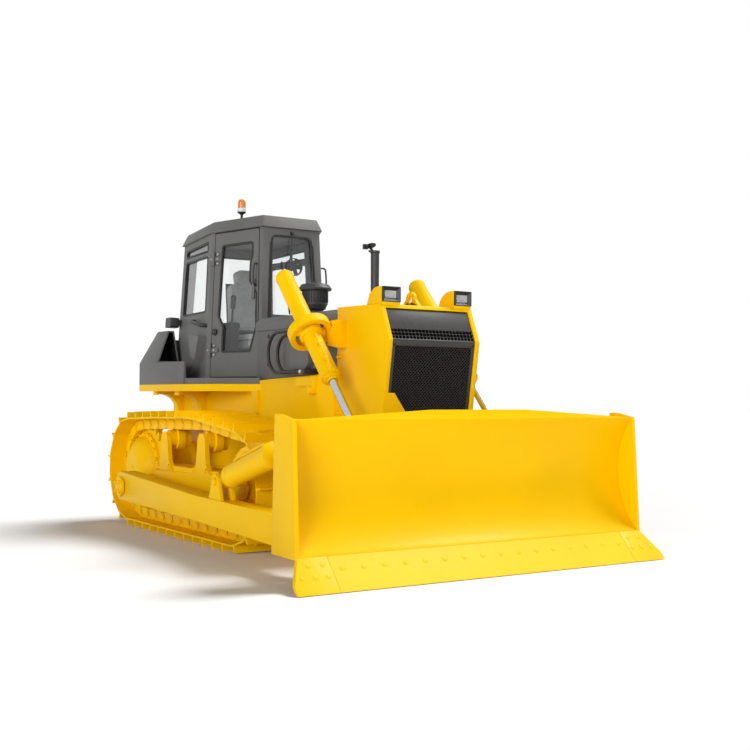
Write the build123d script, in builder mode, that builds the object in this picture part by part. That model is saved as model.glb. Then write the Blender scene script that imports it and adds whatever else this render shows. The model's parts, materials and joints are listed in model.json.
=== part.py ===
"""Crawler bulldozer with a straight blade, made as an assembly of separate pieces.

X runs forward, Y to the machine's left and Z up, with the ground at Z = 0. Sizes are in millimetres.
Right-hand pieces lie at negative Y, and the left-hand ones are their mirror images.
"""
import os
from math import acos, atan2, cos, hypot, pi, radians, sin, sqrt, tan

from build123d import *

os.makedirs("parts", exist_ok=True)

# Whole machine
FRONT_REACH = 4499.0
REAR_OVERHANG = 641.0
AXLE_X = (REAR_OVERHANG - FRONT_REACH) / 2
FRONT_X = AXLE_X + FRONT_REACH
REAR_X = AXLE_X - REAR_OVERHANG

# Clearances
RUN_GAP = 0.5
SEAT_GAP = 0.3
DOOR_GAP = 7.0
SWING_GAP = 8.0

# Track loop
TRACK_Y = 940.0
SHOE_WIDTH = 510.0
PITCH = 203.0
SHOE_COUNT = 37
SPROCKET_RADIUS = 440.0
IDLER_RADIUS = 410.0
PIN_HEIGHT = 130.0
LINK_OUT = 56.0
LINK_IN = 48.0
SHOE_THICK = 16.0
RAIL_INSIDE = 45.0
RAIL_OUTSIDE = 95.0
CARRIER_STATIONS = (710.0, 1570.0)
CARRIER_RISES = (20.0, 35.0)
SPROCKET_Z = SPROCKET_RADIUS + PIN_HEIGHT
IDLER_Z = IDLER_RADIUS + PIN_HEIGHT
BOTTOM_RUN = (SHOE_COUNT * PITCH - pi * (SPROCKET_RADIUS + IDLER_RADIUS)) / 2
IDLER_X = AXLE_X + BOTTOM_RUN

# Running gear
SPROCKET_TEETH = 27
SPROCKET_WIDTH = 70.0
FINAL_DRIVE_RADIUS = 330.0
ROLLER_COUNT = 6
ROLLER_TREAD = 105.0
ROLLER_FLANGE = 128.0
ROLLER_SPACING = 276.0
ROLLER_AXLE = 35.0
ROLLER_Z = PIN_HEIGHT + LINK_IN + ROLLER_TREAD + SEAT_GAP
CARRIER_TREAD = 85.0
CARRIER_SAG = 2.0
CARRIER_AXLE = 32.0
POST_IN = 104.0
POST_OUT = 146.0
GUARD_PLATE = 25.0
BEAM_HALF = 120.0
BEAM_BOTTOM = 420.0
BEAM_TOP = 640.0

# Hull
HULL_HALF = 480.0
HULL_BELLY = 420.0
DECK_Z = 1350.0
DECK_THICK = 70.0
DECK_OUT = 850.0
HULL_REAR = AXLE_X - 520.0
HULL_FRONT = AXLE_X + 2870.0
ENGINE_WALL = AXLE_X + 1330.0
DECK_REAR = AXLE_X - 580.0
DECK_STRAIGHT = AXLE_X + 604.0
DECK_BEND = (AXLE_X + 1081.0, 760.0)
DECK_FRONT = AXLE_X + 1553.0
SIDE_WALL_REAR = 1447.0
SIDE_WALL_FRONT = 1502.0

# Radiator guard
GUARD_HALF = 445.0
GUARD_WALL = 40.0
GUARD_TOP = 2050.0
NOSE_X = AXLE_X + 3656.0
NOSE_Z = 1754.0
GRILLE_INSET = 8.0
GRILLE_THICK = 20.0

# Cab
CAB_BASE = 60.0
CAB_FLOOR = DECK_Z + DECK_THICK + CAB_BASE
CAB_TAPER = 2.74
CAB_WALL = 45.0
CAB_FRONT = (AXLE_X + 1312.0, 358.0)
CAB_MIDDLE = (AXLE_X + 655.0, 641.0)
CAB_REAR = (AXLE_X - 300.0, 550.0)
ROOF_SLOPE = 2.0
ROOF_FRONT_Z = 2945.0
ROOF_HEIGHT = 118.0
ROOF_TAPER = 24.0
GLASS = 6.0

# Blade
BLADE_TOP = 1149.0
ARM_HALF = 85.0
ARM_CLEAR = 55.0
ARM_Y = TRACK_Y + SHOE_WIDTH / 2 + ARM_CLEAR + ARM_HALF
ARM_INSET = 160.0
BLADE_HALF = ARM_Y + ARM_HALF + ARM_INSET
END_PLATE = 30.0
END_FLARE = 84.0
BLADE_WIDTH = 2 * (BLADE_HALF + END_PLATE + END_FLARE)
EDGE_LIFT = 6.0
BOARD_THICK = 22.0
BOARD_TOP_X = FRONT_X - 258.0
BOARD_DEEP = (FRONT_X - 419.0, 660.0)
EDGE_TOP = (FRONT_X - 198.0, 225.0)
BLADE_BACK = FRONT_X - 564.0
CROWN = 66.0

# Push arms
ARM_PIVOT = (AXLE_X + 470.0, 430.0)
ARM_EYE = (BLADE_BACK - 135.0, 330.0)
ARM_MIDDLE = AXLE_X + 2200.0
TRUNNION_RADIUS = 60.0

# Lift cylinders
LIFT_Y = 692.0
LIFT_PIN = (AXLE_X + 2845.0, 1837.0)
ROD_EYE = (BLADE_BACK - 85.0, 745.0)
BARREL_RADIUS = 65.0
BARREL_BORE = 55.0
BARREL_BEHIND = 684.0
BARREL_AHEAD = 516.0
ROD_RADIUS = 32.0
ROD_INSIDE = 460.0
TRUNNION_PIN = 30.0
YOKE_BORE = 138.0
YOKE_RIM = 182.0
YOKE_WIDTH = 80.0
EYE_HALF = 30.0
EYE_RADIUS = 62.0


def block(x0, x1, y0, y1, z0, z1, mode=Mode.ADD):
    """A box between two corners."""
    with Locations(((x0 + x1) / 2, (y0 + y1) / 2, (z0 + z1) / 2)):
        Box(x1 - x0, y1 - y0, z1 - z0, mode=mode)


def side_plate(points, y0, y1, mode=Mode.ADD, radius=0.0):
    """A side-view outline of (x, z) points, as thick as y0 to y1."""
    with BuildSketch(Plane.XZ.offset(-y1)) as outline:
        with BuildLine():
            Polyline(*points, close=True)
        make_face()
        if radius:
            fillet(outline.vertices(), radius)
    extrude(outline.sketch, amount=y1 - y0, mode=mode)


def plan_plate(points, z0, z1, mode=Mode.ADD):
    """A plan-view outline of (x, y) points, as thick as z0 to z1."""
    with BuildSketch(Plane.XY.offset(z0)) as outline:
        with BuildLine():
            Polyline(*points, close=True)
        make_face()
    extrude(outline.sketch, amount=z1 - z0, mode=mode)


def cross_bar(x, z, radius, y0, y1, mode=Mode.ADD):
    """A round bar across the machine, from y0 to y1."""
    with BuildSketch(Plane.XZ.offset(-y1)) as ring:
        with Locations((x, z)):
            Circle(radius)
    extrude(ring.sketch, amount=y1 - y0, mode=mode)


def turned(x, z, profile):
    """A piece turned about a cross axis at (x, z), from its (radius, y) outline."""
    with BuildSketch(Plane((x, 0, z), x_dir=(1, 0, 0), z_dir=(0, 0, 1))) as half:
        with BuildLine():
            Polyline(*profile, close=True)
        make_face()
    revolve(half.sketch, axis=Axis((x, 0, z), (0, 1, 0)))


def upright(x, y, profile):
    """A piece turned about an upright axis at (x, y), from its (radius, z) outline."""
    with BuildSketch(Plane((x, y, 0), x_dir=(1, 0, 0), z_dir=(0, -1, 0))) as half:
        with BuildLine():
            Polyline(*profile, close=True)
        make_face()
    revolve(half.sketch, axis=Axis((x, y, 0), (0, 0, 1)))


def rod_between(start, end, y, radius, mode=Mode.ADD):
    """A round bar from one (x, z) point to another, in the plane at y."""
    run = (end[0] - start[0], 0, end[1] - start[1])
    with BuildSketch(Plane((start[0], y, start[1]), x_dir=(0, 1, 0), z_dir=run)) as ring:
        Circle(radius)
    extrude(ring.sketch, amount=hypot(run[0], run[2]), mode=mode)


def along(start, end, share):
    """The point a share of the way from start to end."""
    return (start[0] + share * (end[0] - start[0]), start[1] + share * (end[1] - start[1]))


def both_sides(part):
    """The right-hand piece and its mirror image."""
    add(part)
    add(mirror(part, about=Plane.XZ))


def circle_point(centre, radius, angle):
    """The (x, z) point on a circle at an angle."""
    return (centre[0] + radius * cos(angle), centre[1] + radius * sin(angle))


def touch_angle(centre, radius, point, side):
    """Angle on a circle where the line from an outside point touches it, on the side given by 1 or -1."""
    reach = hypot(point[0] - centre[0], point[1] - centre[1])
    return atan2(point[1] - centre[1], point[0] - centre[0]) + side * acos(radius / reach)


# The pin line: level below, round the idler, over both carrier rollers and round the sprocket
idler_centre = (IDLER_X, IDLER_Z)
sprocket_centre = (AXLE_X, SPROCKET_Z)
sprocket_top = SPROCKET_Z + SPROCKET_RADIUS
carrier_pins = [(AXLE_X + station, sprocket_top + rise)
                for station, rise in zip(CARRIER_STATIONS, CARRIER_RISES)]
idler_leave = touch_angle(idler_centre, IDLER_RADIUS, carrier_pins[1], -1)
sprocket_meet = touch_angle(sprocket_centre, SPROCKET_RADIUS, carrier_pins[0], 1)
top_line = [circle_point(idler_centre, IDLER_RADIUS, idler_leave), carrier_pins[1], carrier_pins[0],
            circle_point(sprocket_centre, SPROCKET_RADIUS, sprocket_meet)]
top_runs = [hypot(end[0] - start[0], end[1] - start[1]) for start, end in zip(top_line, top_line[1:])]
IDLER_ARC = IDLER_RADIUS * (idler_leave + pi / 2)
SPROCKET_ARC = SPROCKET_RADIUS * (3 * pi / 2 - sprocket_meet)
LOOP_LENGTH = BOTTOM_RUN + IDLER_ARC + sum(top_runs) + SPROCKET_ARC
LINK_STEP = LOOP_LENGTH / SHOE_COUNT


def loop_point(distance):
    """Pin position (x, z) on the track loop, measured from below the sprocket axle."""
    distance = distance % LOOP_LENGTH
    if distance < BOTTOM_RUN:
        return (AXLE_X + distance, PIN_HEIGHT)
    distance -= BOTTOM_RUN
    if distance < IDLER_ARC:
        return circle_point(idler_centre, IDLER_RADIUS, distance / IDLER_RADIUS - pi / 2)
    distance -= IDLER_ARC
    for start, end, run in zip(top_line, top_line[1:], top_runs):
        if distance < run:
            return along(start, end, distance / run)
        distance -= run
    return circle_point(sprocket_centre, SPROCKET_RADIUS, sprocket_meet + distance / SPROCKET_RADIUS)


def chain_outline(steps):
    """Closed outline round the loop: each link adds its (share of pitch, outward) steps."""
    points = []
    for link in range(SHOE_COUNT):
        x0, z0 = loop_point(link * LINK_STEP)
        x1, z1 = loop_point((link + 1) * LINK_STEP)
        for share, out in steps:
            reach = out / hypot(x1 - x0, z1 - z0)
            points.append((x0 + share * (x1 - x0) + reach * (z1 - z0),
                           z0 + share * (z1 - z0) - reach * (x1 - x0)))
    return points


def chain_band(outer, inner, y0, y1):
    """A band round the loop between two chain outlines, as wide as y0 to y1."""
    with BuildSketch(Plane.XZ.offset(-y1)) as band:
        with BuildLine():
            Polyline(*chain_outline(outer), close=True)
        make_face()
        with BuildLine():
            Polyline(*chain_outline(inner), close=True)
        make_face(mode=Mode.SUBTRACT)
    extrude(band.sketch, amount=y1 - y0)


def top_run_z(x):
    """Height of the rails' running face on the top run at x."""
    for link in range(SHOE_COUNT):
        ahead = loop_point(link * LINK_STEP)
        behind = loop_point((link + 1) * LINK_STEP)
        if behind[0] <= x <= ahead[0] and ahead[1] > IDLER_Z and behind[1] > IDLER_Z:
            return along(ahead, behind, (ahead[0] - x) / (ahead[0] - behind[0]))[1] - LINK_IN
    return sprocket_top - LINK_IN


def carrier_z(x):
    """Height of a carrier roller's axle at x, with its tread just under the rails."""
    return min(top_run_z(x + step) for step in (-CARRIER_TREAD, 0,
                                                CARRIER_TREAD)) - CARRIER_TREAD - CARRIER_SAG


# Tracks: shoes with one lug each, on two rails of links
SHOE_OUT = LINK_OUT + SHOE_THICK
with BuildPart() as track_right:
    chain_band(
        [(0.02, SHOE_OUT), (0.06, SHOE_OUT), (0.08, PIN_HEIGHT), (0.15, PIN_HEIGHT), (0.2, SHOE_OUT),
         (0.98, SHOE_OUT)],
        [(0.02, LINK_OUT), (0.98, LINK_OUT)],
        -TRACK_Y - SHOE_WIDTH / 2, -TRACK_Y + SHOE_WIDTH / 2)
    for rail_y in (-TRACK_Y - RAIL_OUTSIDE, -TRACK_Y + RAIL_INSIDE):
        chain_band(
            [(0.02, LINK_OUT + 4)],
            [(0.0, -LINK_IN / 2), (0.1, -LINK_IN), (0.9, -LINK_IN)],
            rail_y, rail_y + RAIL_OUTSIDE - RAIL_INSIDE)

with BuildPart() as track_left:
    add(mirror(track_right.part, about=Plane.XZ))

# Sprockets
rear_link = round((LOOP_LENGTH - SPROCKET_RADIUS * pi / 2) / LINK_STEP)
rear_pin = loop_point(rear_link * LINK_STEP)
tooth_phase = atan2(rear_pin[1] - SPROCKET_Z, rear_pin[0] - AXLE_X) + pi / SPROCKET_TEETH
with BuildPart() as sprocket_right:
    tooth_points = []
    for tooth in range(SPROCKET_TEETH):
        for share, radius in ((-0.36, -32), (-0.14, 28), (0.14, 28), (0.36, -32)):
            turn = tooth_phase + 2 * pi * (tooth + share) / SPROCKET_TEETH
            tooth_points.append((AXLE_X + (SPROCKET_RADIUS + radius) * cos(turn),
                                 SPROCKET_Z + (SPROCKET_RADIUS + radius) * sin(turn)))
    side_plate(tooth_points, -TRACK_Y - SPROCKET_WIDTH / 2, -TRACK_Y + SPROCKET_WIDTH / 2)
    cross_bar(AXLE_X, SPROCKET_Z, FINAL_DRIVE_RADIUS, -TRACK_Y - SPROCKET_WIDTH, -TRACK_Y + SPROCKET_WIDTH,
              Mode.SUBTRACT)

with BuildPart() as sprockets:
    both_sides(sprocket_right.part)

# Final drives: case beside the hull, hub through the sprocket and domed cover
HUB_IN = -TRACK_Y + SPROCKET_WIDTH / 2
HUB_OUT = -TRACK_Y - SPROCKET_WIDTH / 2
with BuildPart() as final_drive_right:
    with BuildSketch(Plane((AXLE_X, 0, SPROCKET_Z), x_dir=(1, 0, 0), z_dir=(0, 0, 1))) as drive_half:
        with BuildLine():
            Polyline((0, HUB_OUT - 165), (0, -HULL_HALF), (260, -HULL_HALF), (260, -HULL_HALF - 60),
                     (225, -HULL_HALF - 100), (225, HUB_IN + 60),
                     (FINAL_DRIVE_RADIUS - SEAT_GAP, HUB_IN + 40),
                     (FINAL_DRIVE_RADIUS - SEAT_GAP, HUB_OUT), (FINAL_DRIVE_RADIUS + 25, HUB_OUT),
                     (FINAL_DRIVE_RADIUS + 25, HUB_OUT - 28), (FINAL_DRIVE_RADIUS - 10, HUB_OUT - 40))
            ThreePointArc((FINAL_DRIVE_RADIUS - 10, HUB_OUT - 40), (FINAL_DRIVE_RADIUS - 75, HUB_OUT - 125),
                          (130, HUB_OUT - 165))
            Line((130, HUB_OUT - 165), (0, HUB_OUT - 165))
        make_face()
    revolve(axis=Axis((AXLE_X, 0, SPROCKET_Z), (0, 1, 0)))

with BuildPart() as final_drives:
    both_sides(final_drive_right.part)

# Idlers
IDLER_TREAD = IDLER_RADIUS * cos(PITCH / IDLER_RADIUS / 2) - LINK_IN - SEAT_GAP
IDLER_RIM = IDLER_TREAD - 46
with BuildPart() as idler_right:
    turned(IDLER_X, IDLER_Z, [
        (0, -TRACK_Y - 150), (45, -TRACK_Y - 150), (45, -TRACK_Y - 98), (110, -TRACK_Y - 98),
        (130, -TRACK_Y - 40),
        (IDLER_RIM - 20, -TRACK_Y - 40), (IDLER_RIM, -TRACK_Y - 92), (IDLER_TREAD, -TRACK_Y - 92),
        (IDLER_TREAD, -TRACK_Y - 40),
        (IDLER_TREAD + 36, -TRACK_Y - 32), (IDLER_TREAD + 36, -TRACK_Y + 32), (IDLER_TREAD, -TRACK_Y + 40),
        (IDLER_TREAD, -TRACK_Y + 92), (IDLER_RIM, -TRACK_Y + 92), (IDLER_RIM - 20, -TRACK_Y + 40),
        (130, -TRACK_Y + 40),
        (110, -TRACK_Y + 98), (45, -TRACK_Y + 98), (45, -TRACK_Y + 150), (0, -TRACK_Y + 150)])

with BuildPart() as idlers:
    both_sides(idler_right.part)

# Bottom rollers
ROLLER_FIRST = AXLE_X + BOTTOM_RUN / 2 - ROLLER_SPACING * (ROLLER_COUNT - 1) / 2
with BuildPart() as rollers_right:
    for roller in range(ROLLER_COUNT):
        turned(ROLLER_FIRST + roller * ROLLER_SPACING, ROLLER_Z, [
            (0, -TRACK_Y - 145), (ROLLER_AXLE, -TRACK_Y - 145), (ROLLER_AXLE, -TRACK_Y - 115),
            (ROLLER_FLANGE, -TRACK_Y - 115), (ROLLER_FLANGE, -TRACK_Y - 98), (ROLLER_TREAD, -TRACK_Y - 98),
            (ROLLER_TREAD, -TRACK_Y + 98), (ROLLER_FLANGE, -TRACK_Y + 98), (ROLLER_FLANGE, -TRACK_Y + 115),
            (ROLLER_AXLE, -TRACK_Y + 115), (ROLLER_AXLE, -TRACK_Y + 145), (0, -TRACK_Y + 145)])

with BuildPart() as track_rollers:
    both_sides(rollers_right.part)

# Carrier rollers under the top run
with BuildPart() as carriers_right:
    for station in CARRIER_STATIONS:
        turned(AXLE_X + station, carrier_z(AXLE_X + station), [
            (0, -TRACK_Y - POST_OUT), (CARRIER_AXLE, -TRACK_Y - POST_OUT), (CARRIER_AXLE, -TRACK_Y - 98),
            (CARRIER_TREAD, -TRACK_Y - 98), (CARRIER_TREAD, -TRACK_Y - 40),
            (CARRIER_TREAD + 22, -TRACK_Y - 34),
            (CARRIER_TREAD + 22, -TRACK_Y + 34), (CARRIER_TREAD, -TRACK_Y + 40),
            (CARRIER_TREAD, -TRACK_Y + 98),
            (60, -TRACK_Y + 112), (0, -TRACK_Y + 112)])

with BuildPart() as carrier_rollers:
    both_sides(carriers_right.part)

# Track frames: beam, roller guards, idler arms, carrier posts, push-arm trunnion and cross ties
BEAM_REAR = AXLE_X + 520.0
BEAM_FRONT = IDLER_X - 420.0
GUARD_REAR = ARM_PIVOT[0] - 75.0
GUARD_IN = BEAM_HALF
GUARD_OUT = BEAM_HALF + GUARD_PLATE
with BuildPart() as track_frame_right:
    side_plate([(BEAM_REAR, BEAM_BOTTOM + 40), (BEAM_REAR + 60, BEAM_BOTTOM), (BEAM_FRONT, BEAM_BOTTOM),
                (BEAM_FRONT, BEAM_TOP - 60), (BEAM_FRONT - 120, BEAM_TOP), (BEAM_REAR + 80, BEAM_TOP),
                (BEAM_REAR, BEAM_TOP - 60)], -TRACK_Y - BEAM_HALF, -TRACK_Y + BEAM_HALF)
    for inner, outer in ((-GUARD_OUT, -GUARD_IN), (GUARD_IN, GUARD_OUT)):
        side_plate([(GUARD_REAR, ARM_PIVOT[1] - 60), (BEAM_REAR + 60, 215), (IDLER_X - 330, 215),
                    (IDLER_X - 250, 330),
                    (IDLER_X + 40, IDLER_Z - 75), (IDLER_X + 75, IDLER_Z), (IDLER_X + 40, IDLER_Z + 75),
                    (BEAM_FRONT - 60, BEAM_TOP - 30), (BEAM_REAR, BEAM_TOP - 60),
                    (GUARD_REAR, ARM_PIVOT[1] + 70)],
                   -TRACK_Y + inner, -TRACK_Y + outer)
        cross_bar(IDLER_X, IDLER_Z, 45 + RUN_GAP, -TRACK_Y + inner, -TRACK_Y + outer, Mode.SUBTRACT)
        for roller in range(ROLLER_COUNT):
            cross_bar(ROLLER_FIRST + roller * ROLLER_SPACING, ROLLER_Z, ROLLER_AXLE + RUN_GAP,
                      -TRACK_Y + inner,
                      -TRACK_Y + outer, Mode.SUBTRACT)
    for station in CARRIER_STATIONS:
        post_x = AXLE_X + station
        post_z = carrier_z(post_x)
        side_plate([(post_x - 190, BEAM_TOP - 40), (post_x + 190, BEAM_TOP - 40),
                    (post_x + 105, BEAM_TOP + 60),
                    (post_x + 75, post_z + 20), (post_x + 40, post_z + 66), (post_x - 40, post_z + 66),
                    (post_x - 75, post_z + 20), (post_x - 105, BEAM_TOP + 60)],
                   -TRACK_Y - POST_OUT, -TRACK_Y - POST_IN)
        cross_bar(post_x, post_z, CARRIER_AXLE + RUN_GAP, -TRACK_Y - POST_OUT - 1, -TRACK_Y - POST_IN,
                  Mode.SUBTRACT)
    cross_bar(*ARM_PIVOT, 105, -TRACK_Y - 200, -TRACK_Y - BEAM_HALF)
    cross_bar(*ARM_PIVOT, TRUNNION_RADIUS, -ARM_Y - ARM_HALF, -TRACK_Y - BEAM_HALF)
    cross_bar(*ARM_PIVOT, TRUNNION_RADIUS + 35, -ARM_Y - ARM_HALF - 32, -ARM_Y - ARM_HALF - SWING_GAP)
    cross_bar(*ARM_PIVOT, TRUNNION_RADIUS, -ARM_Y - ARM_HALF - 32, -ARM_Y - ARM_HALF)
    cross_bar(AXLE_X + 760, 540, 75, -TRACK_Y + BEAM_HALF, -HULL_HALF)
    side_plate([(AXLE_X + 1640, 500), (AXLE_X + 1860, 500), (AXLE_X + 1830, 620), (AXLE_X + 1670, 620)],
               -TRACK_Y + BEAM_HALF, -HULL_HALF)

with BuildPart() as track_frames:
    both_sides(track_frame_right.part)

# Main frame: rear case, engine trough with its side walls, belly and side brackets
BRACKET_REAR = AXLE_X + 2283.0
BRACKET_FRONT = AXLE_X + 2624.0
BOSS = (AXLE_X + 2559.0, 1360.0)
with BuildPart() as main_frame:
    side_plate([(HULL_REAR, 620), (HULL_REAR + 180, HULL_BELLY), (HULL_FRONT, HULL_BELLY),
                (HULL_FRONT, SIDE_WALL_FRONT),
                (ENGINE_WALL + 40, SIDE_WALL_REAR), (ENGINE_WALL, DECK_Z + DECK_THICK),
                (HULL_REAR, DECK_Z + DECK_THICK)], -HULL_HALF, HULL_HALF)
    block(ENGINE_WALL, HULL_FRONT + 1, -HULL_HALF + 80, HULL_HALF - 80, HULL_BELLY + 40,
          SIDE_WALL_FRONT + 1,
          Mode.SUBTRACT)
    block(HULL_REAR + 120, ENGINE_WALL - 120, -HULL_HALF + 90, HULL_HALF - 90, 1180, DECK_Z, Mode.SUBTRACT)
    for inner, outer in ((-HULL_HALF - 40, -HULL_HALF), (HULL_HALF, HULL_HALF + 40)):
        side_plate([(BRACKET_REAR, 1394), (BOSS[0] - 60, 1394), (BOSS[0] - 40, 1330), (BOSS[0] + 40, 1330),
                    (BRACKET_FRONT, 1410), (BRACKET_FRONT, 1482), (BRACKET_REAR, 1470)], inner, outer,
                    radius=12)
    cross_bar(*BOSS, 37, -HULL_HALF - 66, HULL_HALF + 66)
    block(ENGINE_WALL, HULL_FRONT, -HULL_HALF + 80, HULL_HALF - 80, BOSS[1] - 60, BOSS[1] + 60,
          Mode.SUBTRACT)

# Engine and radiator core, plain blocks at their places
with BuildPart() as engine:
    block(AXLE_X + 1430, AXLE_X + 2560, -330, 330, 820, 1720)
    block(AXLE_X + 1480, AXLE_X + 2520, -230, 230, HULL_BELLY + 40, 820)
    block(AXLE_X + 1560, AXLE_X + 2460, -190, 190, 1720, 1860)

with BuildPart() as radiator_core:
    block(AXLE_X + 3040, AXLE_X + 3220, -GUARD_HALF + GUARD_WALL, GUARD_HALF - GUARD_WALL, 560, 1960)

# Radiator guard with its nose, lifting lug and hood seat
GUARD_BOTTOM = HULL_BELLY + 10
GUARD_FRONT_LOW = AXLE_X + 3450.0
GUARD_FRONT_TOP = AXLE_X + 3536.0
GUARD_FRONT_TOP_Z = 2039.0
LUG_X = AXLE_X + 3310.0
LUG_Z = 2105.0
LUG_RADIUS = 66.0
LUG_HOLE = 26.0
LUG_HALF = 15.0
with BuildPart() as radiator_guard:
    side_plate([(HULL_FRONT, GUARD_BOTTOM), (GUARD_FRONT_LOW, GUARD_BOTTOM), (NOSE_X, NOSE_Z),
                (GUARD_FRONT_TOP, GUARD_FRONT_TOP_Z), (HULL_FRONT, GUARD_TOP)], -GUARD_HALF, GUARD_HALF)
    side_plate([(HULL_FRONT - 1, GUARD_BOTTOM + 45), (NOSE_X + 100, GUARD_BOTTOM + 45),
                (NOSE_X + 100, 2006),
                (HULL_FRONT - 1, GUARD_TOP - GUARD_WALL)], -GUARD_HALF + GUARD_WALL,
                GUARD_HALF - GUARD_WALL,
               Mode.SUBTRACT)
    side_plate([(LUG_X - 140, GUARD_TOP - 15), (LUG_X + 140, GUARD_TOP - 15), (LUG_X + LUG_RADIUS, LUG_Z),
                (LUG_X - LUG_RADIUS, LUG_Z)], -LUG_HALF, LUG_HALF)
    cross_bar(LUG_X, LUG_Z, LUG_RADIUS, -LUG_HALF, LUG_HALF)
    cross_bar(LUG_X, LUG_Z, LUG_HOLE, -LUG_HALF, LUG_HALF, Mode.SUBTRACT)


def nose_line(z, inset):
    """X of the guard's front face at z, set back by inset."""
    if z > NOSE_Z:
        return NOSE_X - (z - NOSE_Z) * (NOSE_X - GUARD_FRONT_TOP) / (GUARD_FRONT_TOP_Z - NOSE_Z) - inset
    return NOSE_X - (NOSE_Z - z) * (NOSE_X - GUARD_FRONT_LOW) / (NOSE_Z - GUARD_BOTTOM) - inset


# Grille: slotted upper panel and meshed lower panel
GRILLE_LOW = GUARD_BOTTOM + 45
GRILLE_HIGH = 2006.0
GRILLE_HALF = GUARD_HALF - GUARD_WALL
LOW_TILT = atan2(NOSE_X - GUARD_FRONT_LOW, NOSE_Z - GUARD_BOTTOM)
HIGH_TILT = atan2(NOSE_X - GUARD_FRONT_TOP, GUARD_FRONT_TOP_Z - NOSE_Z)
MESH_COLUMNS = 11
MESH_ROWS = 13
MESH_BOTTOM = 780.0
SLOT_COLUMNS = 16
SLOT_ROWS = 3
low_plane = Plane((nose_line(NOSE_Z, 0), 0, NOSE_Z), x_dir=(0, 1, 0),
                  z_dir=(cos(LOW_TILT), 0, -sin(LOW_TILT)))
high_plane = Plane((nose_line(NOSE_Z, 0), 0, NOSE_Z), x_dir=(0, 1, 0),
                   z_dir=(cos(HIGH_TILT), 0, sin(HIGH_TILT)))
mesh_height = (NOSE_Z - MESH_BOTTOM) / cos(LOW_TILT)
mesh_pitch_y = (2 * GRILLE_HALF - 60) / MESH_COLUMNS
mesh_pitch_z = (mesh_height - 60) / MESH_ROWS
with BuildPart() as grille:
    side_plate([(nose_line(GRILLE_LOW, GRILLE_INSET), GRILLE_LOW),
                (nose_line(NOSE_Z, GRILLE_INSET), NOSE_Z),
                (nose_line(GRILLE_HIGH, GRILLE_INSET), GRILLE_HIGH),
                (nose_line(GRILLE_HIGH, GRILLE_INSET + GRILLE_THICK), GRILLE_HIGH),
                (nose_line(NOSE_Z, GRILLE_INSET + GRILLE_THICK), NOSE_Z),
                (nose_line(GRILLE_LOW, GRILLE_INSET + GRILLE_THICK), GRILLE_LOW)], -GRILLE_HALF,
                GRILLE_HALF)
    with BuildSketch(low_plane) as mesh:
        with Locations((0, -mesh_height / 2)):
            with GridLocations(mesh_pitch_y, mesh_pitch_z, MESH_COLUMNS, MESH_ROWS):
                Rectangle(mesh_pitch_y * 0.8, mesh_pitch_z * 0.8)
    extrude(amount=-60, mode=Mode.SUBTRACT)
    with BuildSketch(high_plane) as slots:
        with Locations((0, 66)):
            with GridLocations(44, 30, SLOT_COLUMNS, SLOT_ROWS):
                Rectangle(24, 18)
    extrude(amount=-60, mode=Mode.SUBTRACT)

# Head lamps on the guard's top corners, with their lenses
LAMP_X = AXLE_X + 3390.0
LAMP_Y = 352.0
LAMP_BOTTOM = GUARD_TOP
LAMP_HALF = 88.0
LAMP_TOP = LAMP_BOTTOM + 128
with BuildPart() as lamp_right:
    with BuildSketch(Plane.XZ.offset(LAMP_Y - LAMP_HALF)) as lamp_side:
        with BuildLine():
            Polyline((LAMP_X - 70, LAMP_BOTTOM - 30), (LAMP_X + 150, LAMP_BOTTOM - 30),
                     (LAMP_X + 150, LAMP_TOP),
                     (LAMP_X + 100, LAMP_TOP))
            ThreePointArc((LAMP_X + 100, LAMP_TOP), (LAMP_X - 25, LAMP_TOP - 50),
                          (LAMP_X - 70, LAMP_BOTTOM - 30))
        make_face()
    extrude(amount=2 * LAMP_HALF)
    side_plate([(HULL_FRONT, NOSE_Z), (NOSE_X, NOSE_Z), (GUARD_FRONT_TOP, GUARD_FRONT_TOP_Z),
                (HULL_FRONT, GUARD_TOP)],
               -LAMP_Y - LAMP_HALF - 2, -LAMP_Y + LAMP_HALF + 2, Mode.SUBTRACT)
    block(LAMP_X + 120, LAMP_X + 160, -LAMP_Y - 72, -LAMP_Y + 72, LAMP_BOTTOM + 18, LAMP_BOTTOM + 114,
          Mode.SUBTRACT)

with BuildPart() as headlamps:
    both_sides(lamp_right.part)

with BuildPart() as headlamp_lenses:
    for lamp_y in (-LAMP_Y, LAMP_Y):
        block(LAMP_X + 120, LAMP_X + 140, lamp_y - 72 + SEAT_GAP, lamp_y + 72 - SEAT_GAP,
              LAMP_BOTTOM + 18 + SEAT_GAP,
              LAMP_BOTTOM + 114 - SEAT_GAP)

# Hood and engine side panels
HOOD_HALF = 450.0
HOOD_FLANGE = 1915.0
with BuildPart() as hood:
    with BuildSketch(Plane.YZ.offset(ENGINE_WALL + 40)) as hood_end:
        with BuildLine():
            Polyline((-HOOD_HALF, HOOD_FLANGE), (-HOOD_HALF, GUARD_TOP - 60),
                     (-HOOD_HALF + 60, GUARD_TOP - 8),
                     (HOOD_HALF - 60, GUARD_TOP - 8), (HOOD_HALF, GUARD_TOP - 60), (HOOD_HALF, HOOD_FLANGE),
                     (HOOD_HALF - 12, HOOD_FLANGE), (HOOD_HALF - 12, GUARD_TOP - 65),
                     (HOOD_HALF - 65, GUARD_TOP - 20), (-HOOD_HALF + 65, GUARD_TOP - 20),
                     (-HOOD_HALF + 12, GUARD_TOP - 65), (-HOOD_HALF + 12, HOOD_FLANGE), close=True)
        make_face()
    extrude(amount=HULL_FRONT - ENGINE_WALL - 40)

PANEL_Y = HOOD_HALF - 12
BULGE_OUT = HOOD_HALF + 50


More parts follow.
